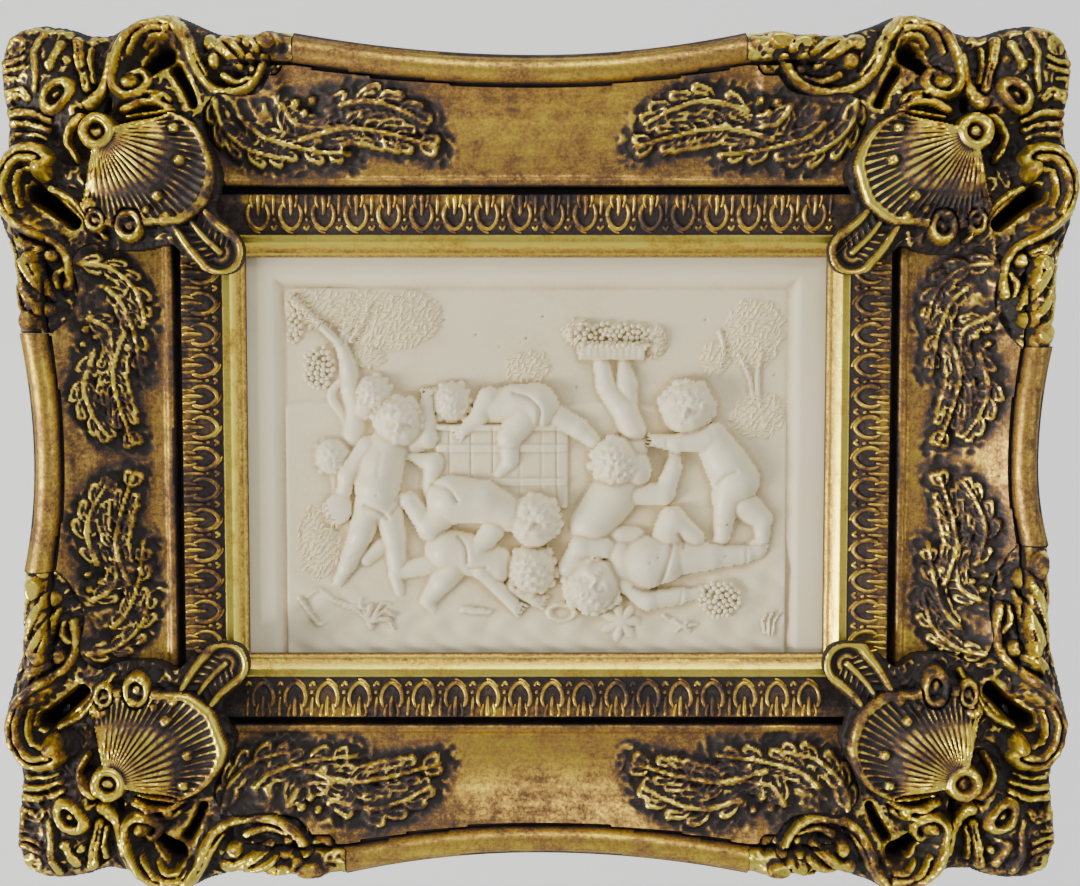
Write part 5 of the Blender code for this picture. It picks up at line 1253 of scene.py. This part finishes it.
# %% Plane and cut the four rails
for side_name, (length, span, side, level) in SIDES.items():
    width, sweep = (LONG_RAIL_WIDTH, LONG_RAIL_SWEEP) if level else (SHORT_RAIL_WIDTH, SHORT_RAIL_SWEEP)
    tuck = RAIL_TUCK * CORNER_UNIT
    seams = {}
    cuts = []
    for name, (side_x, side_z, top_end, side_end, _) in CORNERS.items():
        across, along, arm = (side_z, side_x, top_end) if level else (side_x, side_z, side_end)
        if across == side:
            seams[along] = length / 2 + arm * CORNER_UNIT
            room = corner_outline(side_x, side_z, top_end, side_end, SEAM)
            cuts.append((prism("room", room, CUTTER_BACK, CUTTER_FRONT), "DIFFERENCE"))
    v, u = np.meshgrid(np.linspace(0, 1, round(width / RAIL_STEP) + 1),
                       np.linspace(-1, 1, round((length + 2 * tuck) / RAIL_STEP) + 1), indexing="ij")
    s = u * (length / 2 + tuck)
    outer = rail_outer(s, np.where(s < 0, seams[-1], seams[1]), width, sweep)
    d = RAIL_START + v * (outer - RAIL_START)
    relief, halo = spray(s, d, outer, LONG_SPRAY if level else SHORT_SPRAY)
    relief = relief + SPRAY_TOOLING * halo * tooling(s.shape, RAIL_STEP, len(pieces))
    height = rail_height(d, outer) + relief
    q = outer - d
    x, z = to_wall(s, side * (span / 2 + d), level)
    cove = (d - RAIL_START) / (outer - RAIL_START)
    gilt = np.where(q < SIDE_WIDTH + RIM_WIDTH, 0.60, 0.62 - 0.9 * (cove - 0.38) ** 2)
    gilt = np.where((q < SIDE_WIDTH + RIM_WIDTH + RIM_GROOVE) & (q > SIDE_WIDTH + RIM_WIDTH), 0.0, gilt)
    gilt = np.where(d < RAIL_START + 0.5 * MM, 0.15, gilt) * (1 - 0.62 * halo)
    gilt = np.where(q < SIDE_WIDTH * 0.7, 0.12, gilt)
    run = np.stack([s, d, np.zeros_like(d)], -1)
    standing = crest(height - rail_height(d, outer), RAIL_STEP, 0.7 * MM, 2.0 * MM)
    fields = {"crest": standing, "gilt": gilt, "run": run}
    mesh = trimmed(carved_slab(side_name + "_rail", x, z, height, fields), cuts)
    add_piece(side_name + "_rail", mesh, "gilt_wood", side_name + "_rail")


# %% [markdown]
# ## Node trees as sums
#
# Materials and Geometry Nodes are both trees of nodes joined by links. The small class below wraps
# one socket, so that plus, minus and times add the Math nodes. Everything else goes through one
# method that makes a node of any type, sets it and fills its sockets.

# %% Sockets that can be added and multiplied
class Signal:
    """One output socket of a node tree, used like a number."""

    def __init__(self, tree, socket):
        self.tree = tree
        self.socket = socket

    def math(self, operation, first, second):
        return node(self.tree, "ShaderNodeMath", {0: first, 1: second}, operation=operation)

    def __add__(self, other):
        return self.math("ADD", self, other)

    def __radd__(self, other):
        return self.math("ADD", other, self)

    def __sub__(self, other):
        return self.math("SUBTRACT", self, other)

    def __rsub__(self, other):
        return self.math("SUBTRACT", other, self)

    def __mul__(self, other):
        return self.math("MULTIPLY", self, other)

    def __rmul__(self, other):
        return self.math("MULTIPLY", other, self)


def node(tree, kind, sockets=None, output=0, stops=None, **settings):
    """Adds a node of any type and gives back one of its outputs as a signal."""
    new = tree.nodes.new(kind)
    for key, setting in settings.items():
        setattr(new, key, setting)
    if stops:
        elements = new.color_ramp.elements
        while len(elements) < len(stops):
            elements.new(0.5)
        for element, (place, colour) in zip(elements, stops):
            element.position = place
            element.color = (*colour, 1)
    for key, value in (sockets or {}).items():
        if isinstance(value, Signal):
            tree.links.new(value.socket, new.inputs[key])
        else:
            new.inputs[key].default_value = value
    return Signal(tree, new.outputs[output]) if new.outputs else new


# %% [markdown]
# ## What repeats
#
# The leaf tips of the slip, the grapes and the leaves of the trees repeat, so Geometry Nodes lay
# them out. One tree sets copies of a motif at an even pitch along a line, and another strews them
# over a bed with a fixed seed. Both end with real geometry, so the pieces are plain meshes.

# %% Trees for a row and for a strewn bed
def new_tree(name, inputs):
    """Geometry tree with the given named inputs, and its group input node."""
    tree = bpy.data.node_groups.new(name, "GeometryNodeTree")
    tree.interface.new_socket("Geometry", in_out="OUTPUT", socket_type="NodeSocketGeometry")
    tree.interface.new_socket("Geometry", in_out="INPUT", socket_type="NodeSocketGeometry")
    for key, kind in inputs:
        tree.interface.new_socket(key, in_out="INPUT", socket_type="NodeSocket" + kind)
    group = tree.nodes.new("NodeGroupInput")
    return tree, {socket.name: Signal(tree, socket) for socket in group.outputs}


def finish_tree(tree, instances, material):
    """Ends a tree in real geometry with a material."""
    real = node(tree, "GeometryNodeRealizeInstances", {"Geometry": instances})
    dressed = node(tree, "GeometryNodeSetMaterial", {"Geometry": real, "Material": material})
    end = tree.nodes.new("NodeGroupOutput")
    tree.links.new(dressed.socket, end.inputs[0])


row_tree, given = new_tree("motif_row", [("Motif", "Object"), ("Count", "Int"), ("Start", "Vector"),
                                         ("Step", "Vector"), ("Turn", "Vector"), ("Material", "Material")])
line = node(row_tree, "GeometryNodeMeshLine", {"Count": given["Count"], "Start Location": given["Start"],
                                               "Offset": given["Step"]}, mode="OFFSET")
motif = node(row_tree, "GeometryNodeObjectInfo", {"Object": given["Motif"]}, output="Geometry")
turn = node(row_tree, "FunctionNodeEulerToRotation", {0: given["Turn"]})
row = node(row_tree, "GeometryNodeInstanceOnPoints", {"Points": line, "Instance": motif, "Rotation": turn})
finish_tree(row_tree, row, given["Material"])

bed_tree, given = new_tree("strewn_bed", [("Motif", "Object"), ("Spacing", "Float"), ("Smallest", "Float"),
                                          ("Largest", "Float"), ("Seed", "Int"), ("Material", "Material")])
points = node(bed_tree, "GeometryNodeDistributePointsOnFaces",
              {"Mesh": given["Geometry"], "Distance Min": given["Spacing"], "Density Max": 4e6,
               "Seed": given["Seed"]}, distribute_method="POISSON")
spin = node(bed_tree, "FunctionNodeRandomValue", {"Min": (0, 0.1, 0), "Max": (0, 1.7, 0),
                                                 "Seed": given["Seed"]}, data_type="FLOAT_VECTOR")
size = node(bed_tree, "FunctionNodeRandomValue", {2: given["Smallest"], 3: given["Largest"],
                                                 "Seed": given["Seed"]}, output=1, data_type="FLOAT")
motif = node(bed_tree, "GeometryNodeObjectInfo", {"Object": given["Motif"]}, output="Geometry")
strewn = node(bed_tree, "GeometryNodeInstanceOnPoints",
              {"Points": points, "Instance": motif, "Scale": size,
               "Rotation": node(bed_tree, "FunctionNodeEulerToRotation", {0: spin})})
finish_tree(bed_tree, strewn, given["Material"])


def laid_out(tree, bed, settings):
    """Mesh that a tree makes, on a bed mesh if it needs one, with its named inputs set."""
    host = linked(tree.name, bed or bpy.data.meshes.new(tree.name))
    modifier = host.modifiers.new("layout", "NODES")
    modifier.node_group = tree
    for item in tree.interface.items_tree:
        if item.in_out == "INPUT" and item.name in settings:
            modifier[item.identifier] = settings[item.name]
    result = bpy.data.meshes.new_from_object(host.evaluated_get(bpy.context.evaluated_depsgraph_get()))
    bpy.data.objects.remove(host)
    return result


# %% [markdown]
# ### Leaf tips of the slip
#
# On the real slip each motif is a cup of leaf with its round tip towards the picture, a stem down
# its middle and a dart beside it. Each is a few bent rods, half sunk in the strip.

# %% One leaf tip from bent rods
ROD_SIDES = 8


def rod(points, start, end, steps=4):
    """Points and faces of a tapering bent rod with rounded ends, in x and z, lying on y = 0."""
    line = smooth_curve(points, steps)
    along = np.gradient(line, axis=0)
    along /= np.linalg.norm(along, axis=1)[:, None]
    share = np.linspace(0, 1, len(line))
    radius = (start + (end - start) * share) * np.sqrt(np.clip(1 - (2 * share - 1) ** 10, 0.15, 1))
    angle = np.linspace(0, 2 * math.pi, ROD_SIDES, endpoint=False)
    aside = np.stack([-along[:, 1], along[:, 0]], 1)
    ring_x = line[:, None, 0] + aside[:, None, 0] * radius[:, None] * np.cos(angle)
    ring_z = line[:, None, 1] + aside[:, None, 1] * radius[:, None] * np.cos(angle)
    ring_y = -1.3 * radius[:, None] * np.sin(angle)
    corners = np.stack([ring_x, ring_y, ring_z], -1).reshape(-1, 3)
    faces = []
    for i in range(len(line) - 1):
        for k in range(ROD_SIDES):
            j = (k + 1) % ROD_SIDES
            first, second = i * ROD_SIDES, (i + 1) * ROD_SIDES
            faces.append((first + j, second + j, second + k, first + k))
    last = (len(line) - 1) * ROD_SIDES
    faces.append(tuple(range(ROD_SIDES - 1, -1, -1)))
    faces.append(tuple(range(last, last + ROD_SIDES)))
    standing = np.tile(np.sin(angle), len(line))
    return corners, faces, standing


def rods_mesh(name, rods):
    """One mesh of several rods, which keeps how far each point stands out."""
    points, faces, crests = [], [], []
    for shape in rods:
        corners, sides, standing = rod(*shape)
        base = len(points)
        points.extend(corners.tolist())
        faces.extend(tuple(base + i for i in loop) for loop in sides)
        crests.extend(standing.tolist())
    mesh = bpy.data.meshes.new(name)
    mesh.from_pydata(points, [], faces)
    mesh.attributes.new("crest", "FLOAT", "POINT").data.foreach_set("value", np.array(crests) * 0.7)
    mesh.attributes.new("gilt", "FLOAT", "POINT").data.foreach_set("value", np.full(len(points), 0.28))
    mesh.attributes.new("run", "FLOAT_VECTOR", "POINT").data.foreach_set("vector", np.array(points).ravel())
    return mesh


LEAF_RODS = (
    (((-2.2, 8.6), (-3.0, 6.2), (-2.3, 3.4), (0.0, 1.7), (2.3, 3.4), (3.0, 6.2), (2.2, 8.6)), 0.75, 0.55),
    (((0.0, 11.2), (0.2, 8.6), (0.0, 5.4)), 0.85, 0.45),
    (((-1.7, 11.2), (-2.0, 9.6), (-1.4, 7.4)), 0.55, 0.4), (((1.8, 11.2), (1.9, 9.8), (1.3, 7.6)), 0.55, 0.4),
    (((4.5, 11.2), (4.5, 8.4), (4.3, 5.6)), 0.6, 0.4), (((3.5, 2.6), (4.4, 1.6), (5.2, 2.8)), 0.5, 0.5),
    (((4.5, 4.9), (4.6, 3.8)), 0.55, 0.55), (((-2.8, 2.9), (-1.0, 1.2), (0.5, 0.7)), 0.45, 0.3),
)
leaf_rods = [(np.array(points) * MM, start * MM, end * MM) for points, start, end in LEAF_RODS]
leaf_tip = linked("leaf_tip", rods_mesh("leaf_tip", leaf_rods))
print("one leaf tip has", len(leaf_tip.data.polygons), "faces")

# %% Set the leaf tips along the four slips
gilding = bpy.data.materials.new("gilding")
strip_start = SIGHT_BEVEL + SIGHT_FILLET
LEAF_TURNS = {"top": 0.0, "bottom": math.pi, "left": -math.pi / 2, "right": math.pi / 2}
for side_name, (length, span, side, level) in SIDES.items():
    count = round(length / LEAF_PITCH)
    pitch = length / count
    x, z = to_wall(-(count - 1) / 2 * pitch, side * (span / 2 + strip_start), level)
    mesh = laid_out(row_tree, None, {"Motif": leaf_tip, "Count": count,
                                     "Start": (x, -SIGHT_FILLET_HEIGHT, z - HANG_HEIGHT),
                                     "Step": (pitch, 0, 0) if level else (0, 0, pitch),
                                     "Turn": (0, LEAF_TURNS[side_name], 0), "Material": gilding})
    places = vertex_places(mesh)
    d = (side * (places[:, 2] + HANG_HEIGHT) if level else side * places[:, 0]) - span / 2
    places[:, 1] -= slip_height(np.maximum(d, strip_start + 0.01 * MM)) - SIGHT_FILLET_HEIGHT
    mesh.vertices.foreach_set("co", places.ravel())
    add_piece("leaf_tips_" + side_name, mesh, "gilt_slip")
bpy.data.objects.remove(leaf_tip)

# %% [markdown]
# ### Grapes and leaves of the relief
#
# Grapes are small balls packed over the bunches and the basket, and the trees are hundreds of small
# pointed leaves. They lie on the surface of the cast, so their beds are read from its heights.

# %% Beds, a grape and a leaf
cast_finish = bpy.data.materials.new("cast")
BED_STEP = 0.5 * MM
GRAPE_SIZE = 0.82 * MM


def bed_mesh(middle, half, lift):
    """Open oval patch of the relief's own surface, raised by a lift in millimetres."""
    (cu, cv), (hu, hv) = middle, half
    x, z = grid((cu - hu) * RELIEF_UNIT, (cu + hu) * RELIEF_UNIT, (cv - hv) * RELIEF_UNIT,
                (cv + hv) * RELIEF_UNIT, BED_STEP)
    r = np.hypot((x / RELIEF_UNIT - cu) / hu, (z / RELIEF_UNIT - cv) / hv)
    height = relief_height(x, z) + lift * MM * round_over(r, 1.05)
    _, cells = grid_cells(*x.shape)
    cells = cells[(r.ravel()[cells].max(1) < 1) & (inside_border(x, z).ravel()[cells].min(1) > BED_STEP)]
    mesh = bpy.data.meshes.new("bed")
    mesh.from_pydata(np.stack([x, -height, z - HANG_HEIGHT], -1).reshape(-1, 3).tolist(), [], cells.tolist())
    return mesh


bpy.ops.mesh.primitive_ico_sphere_add(subdivisions=2, radius=1.0)
grape = bpy.context.object
grape.name = "grape"
# The crest rises towards the grape's front, so the cast finish paints each grape lighter on its front, as a
# highlight, and darker towards its rim, as shade between grapes.
grape.data.attributes.new("crest", "FLOAT", "POINT")
grape.data.attributes["crest"].data.foreach_set("value", [-0.8 * v.co.y for v in grape.data.vertices])

LEAF_OUTLINE = ((0.0, -1.0), (0.34, -0.45), (0.42, 0.1), (0.2, 0.65),
                (0.0, 1.0), (-0.2, 0.65), (-0.42, 0.1), (-0.34, -0.45))
leaf_points = [(px, 0.25, pz) for px, pz in LEAF_OUTLINE] + [(px, 0.0, pz) for px, pz in LEAF_OUTLINE]
leaf_points += [(0.0, -0.42, 0.35), (0.0, -0.42, -0.35)]
count = len(LEAF_OUTLINE)
leaf_faces = [(i, (i + 1) % count, count + (i + 1) % count, count + i) for i in range(count)]
leaf_faces.append(tuple(range(count - 1, -1, -1)))
top, foot = 2 * count, 2 * count + 1
for i in range(count):
    j = (i + 1) % count
    leaf_faces.append((count + i, count + j, top if LEAF_OUTLINE[i][1] + LEAF_OUTLINE[j][1] > 0 else foot))
right_side, left_side = count + 2, count + 6
leaf_faces += [(foot, right_side, top), (top, left_side, foot)]
small_leaf_mesh = bpy.data.meshes.new("small_leaf")
small_leaf_mesh.from_pydata(leaf_points, [], leaf_faces)
small_leaf = linked("small_leaf", small_leaf_mesh)

# %% Strew them
GRAPE_SPACING = 1.35 * MM
LEAF_SIZE = 1.25 * MM
LEAF_SPACING = 1.25 * MM
FIRST_LEAF_SEED = 20
GRAPE_BEDS = (
    ("grapes_reached_for", (-43.0, 17.6), (3.2, 4.4), 1.2, 3),
    ("grapes_at_border", (-48.0, 26.6), (1.9, 4.4), 0.8, 5),
    ("grapes_on_ground", (36.6, -28.3), (4.2, 4.0), 1.8, 7),
    ("grapes_in_basket", (14.6, 24.1), (8.8, 2.7), 1.6, 11),
)


def strew(name, bed, motif_object, spacing, smallest, largest, seed):
    """Strews copies of a motif over a bed and adds them as one piece of the cast."""
    mesh = laid_out(bed_tree, bed, {"Motif": motif_object, "Spacing": spacing, "Smallest": smallest,
                                    "Largest": largest, "Seed": seed, "Material": cast_finish})
    add_piece(name, mesh, "cast_stone")


for name, middle, half, lift, seed in GRAPE_BEDS:
    strew(name, bed_mesh(middle, half, lift), grape, GRAPE_SPACING, 0.85 * GRAPE_SIZE, 1.1 * GRAPE_SIZE, seed)
for i, (middle, half, _) in enumerate(FOLIAGE):
    strew("leaves_%d" % (i + 1), bed_mesh(middle, half, 0.0), small_leaf, LEAF_SPACING,
          0.8 * LEAF_SIZE, 1.25 * LEAF_SIZE, FIRST_LEAF_SEED + i)
for motif_object in (grape, small_leaf):
    bpy.data.objects.remove(motif_object)

# %% [markdown]
# ## Finishes
#
# The frame is gilded over a dark ground and toned: gold is bright on edges and high places where it
# was rubbed, brown on the plain hollows, and almost black in the depths where the toning and dust
# lie. The material adds the gilt share of each place, how far it stands out, and noise,
# and reads one ramp from dark to bright gold with the sum.


# %% Noise, ramps and toned gilding
GILT_STOPS = ((0.04, (0.014, 0.009, 0.008)), (0.26, (0.062, 0.036, 0.028)), (0.42, (0.19, 0.092, 0.024)),
              (0.58, (0.47, 0.275, 0.070)), (0.78, (0.84, 0.60, 0.085)), (1.0, (1.0, 0.83, 0.14)))
WOOD_STOPS = ((0.3, (0.13, 0.07, 0.035)), (0.7, (0.30, 0.18, 0.095)))
# Stops of the cast's colour; the darker ones also carry its painted shade.
CAST_STOPS = ((0.0, (0.36, 0.26, 0.14)), (0.30, (0.71, 0.59, 0.36)), (0.58, (0.94, 0.83, 0.55)),
              (0.95, (0.98, 0.91, 0.67)))


def noise(tree, place, scale, detail, roughness=0.5):
    """Cloudy pattern round 0.5."""
    return node(tree, "ShaderNodeTexNoise",
                {"Vector": place, "Scale": scale, "Detail": detail, "Roughness": roughness})


def stretched(tree, place, scale):
    """Places multiplied along each axis, so that a pattern on them runs one way."""
    return node(tree, "ShaderNodeVectorMath", {0: place, 1: scale}, operation="MULTIPLY")


def spread(tree, value, low, high, to_low=0.0, to_high=1.0):
    """Value carried from one span to another and held at its ends."""
    return node(tree, "ShaderNodeMapRange", {"Value": value, "From Min": low, "From Max": high,
                                             "To Min": to_low, "To Max": to_high})


def ramp(tree, share, stops):
    """Colour between the given stops."""
    return node(tree, "ShaderNodeValToRGB", {"Fac": share}, output="Color", stops=stops)


def kept(tree, name, output="Fac"):
    """Value that the mesh keeps at each of its points."""
    return node(tree, "ShaderNodeAttribute", output=output, attribute_name=name)


def start_finish(material):
    """Node tree of a material, its shader, the place of each point and how far it stands out."""
    material.use_nodes = True
    tree = material.node_tree
    place = node(tree, "ShaderNodeTexCoord", output="Object")
    return tree, tree.nodes["Principled BSDF"], place, kept(tree, "crest")


def fill_gilding(material, dark):
    """Old gold that is worn bright on edges and toned dark in hollows."""
    tree, shader, place, out = start_finish(material)
    gilt = kept(tree, "gilt")
    run = kept(tree, "run", "Vector")
    speckle = noise(tree, place, 950.0, 5.0, 0.75)
    mottle = noise(tree, place, 210.0, 4.0, 0.6)
    cloud = noise(tree, place, 48.0, 5.0, 0.6)
    streak = noise(tree, stretched(tree, run, (22.0, 420.0, 1.0)), 1.0, 4.0, 0.6)
    rubbed = spread(tree, 0.5 * mottle + 0.5 * cloud, 0.41, 0.60, 0.10, 0.80)
    worn = (gilt + rubbed * out + 0.95 * (speckle - 0.5) + 0.55 * (mottle - 0.5) + 0.75 * (cloud - 0.5)
            + 0.45 * (streak - 0.5) - dark)
    depth = node(tree, "ShaderNodeSeparateXYZ", {"Vector": place}, output="Y")
    back = spread(tree, depth, -0.9 * MM, -0.4 * MM)
    grain = noise(tree, stretched(tree, place, (14.0, 200.0, 320.0)), 0.6, 6.0, 0.65)
    mixed = node(tree, "ShaderNodeMix", {0: back, 6: ramp(tree, worn, GILT_STOPS),
                                         7: ramp(tree, grain, WOOD_STOPS)}, output=2, data_type="RGBA")
    metal = spread(tree, worn, 0.30, 0.66, 0.0, 0.97)
    rough = spread(tree, worn, 0.1, 0.9, 0.66, 0.30)
    tree.links.new(mixed.socket, shader.inputs["Base Color"])
    tree.links.new((metal * (1 - back)).socket, shader.inputs["Metallic"])
    tree.links.new((rough + 0.3 * back + 0.14 * (speckle - 0.5)).socket, shader.inputs["Roughness"])
    dust = node(tree, "ShaderNodeBump", {"Height": speckle + 0.6 * cloud + 0.4 * streak, "Strength": 0.55,
                                         "Distance": 0.18 * MM}, output="Normal")
    tree.links.new(dust.socket, shader.inputs["Normal"])


fill_gilding(gilding, 0.0)
casting_gilding = bpy.data.materials.new("casting_gilding")
fill_gilding(casting_gilding, 0.09)
rail_gilding = bpy.data.materials.new("rail_gilding")
fill_gilding(rail_gilding, 0.0)

# %% [markdown]
# The cast is a warm off-white. Its hollows are painted darker, as shade, and its high places
# lighter, as a highlight, and handling has polished those high places.


# %% Cast stone
def fill_cast(material):
    """Off-white cast, with painted shade darkening its hollows and a painted highlight on its high places."""
    tree, shader, place, out = start_finish(material)
    cloud = noise(tree, place, 38.0, 6.0, 0.6)
    grain = noise(tree, place, 900.0, 4.0)
    # How far a place stands out gives painted shade in the hollows and a painted highlight on the high
    # places; cloud and grain are the cast's own uneven tone.
    tone_with_painted_shade = 0.62 + 0.22 * out + 0.5 * (cloud - 0.5) + 0.2 * (grain - 0.5)
    tree.links.new(ramp(tree, tone_with_painted_shade, CAST_STOPS).socket, shader.inputs["Base Color"])
    tree.links.new((0.52 - 0.10 * out + 0.1 * (cloud - 0.5)).socket, shader.inputs["Roughness"])
    bump = node(tree, "ShaderNodeBump", {"Height": grain + 0.5 * cloud, "Strength": 0.25,
                                         "Distance": 0.1 * MM}, output="Normal")
    tree.links.new(bump.socket, shader.inputs["Normal"])


fill_cast(cast_finish)

# %% Floor and sheet
def plain_finish(surface, settings):
    """Gives a surface one even material."""
    finish = bpy.data.materials.new(surface.name)
    finish.use_nodes = True
    for key, value in settings.items():
        finish.node_tree.nodes["Principled BSDF"].inputs[key].default_value = value
    surface.data.materials.append(finish)


plain_finish(floor, {"Base Color": (0.72, 0.72, 0.71, 1), "Roughness": 0.8})
plain_finish(sheet, {"Emission Color": (0.80, 0.81, 0.82, 1), "Emission Strength": 0.75})

# %% [markdown]
# ## Hand the pieces over
#
# Every piece rides on the one body of the frame, names the finish it takes, and stands in for its
# plain solid where it has one.

# %% Finish, ride and replace
FINISHES = {"cast_stone": cast_finish, "gilt_slip": gilding, "gilt_casting": casting_gilding,
            "gilt_wood": rail_gilding}
for piece, material_slot, nodes in pieces.values():
    piece.data.materials.clear()
    piece.data.materials.append(FINISHES[material_slot])
    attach(piece, "root")
    if nodes:
        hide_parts(*nodes)

total = sum(len(piece.data.loop_triangles) for piece, _, _ in pieces.values())
print(len(pieces), "pieces,", total, "triangles")
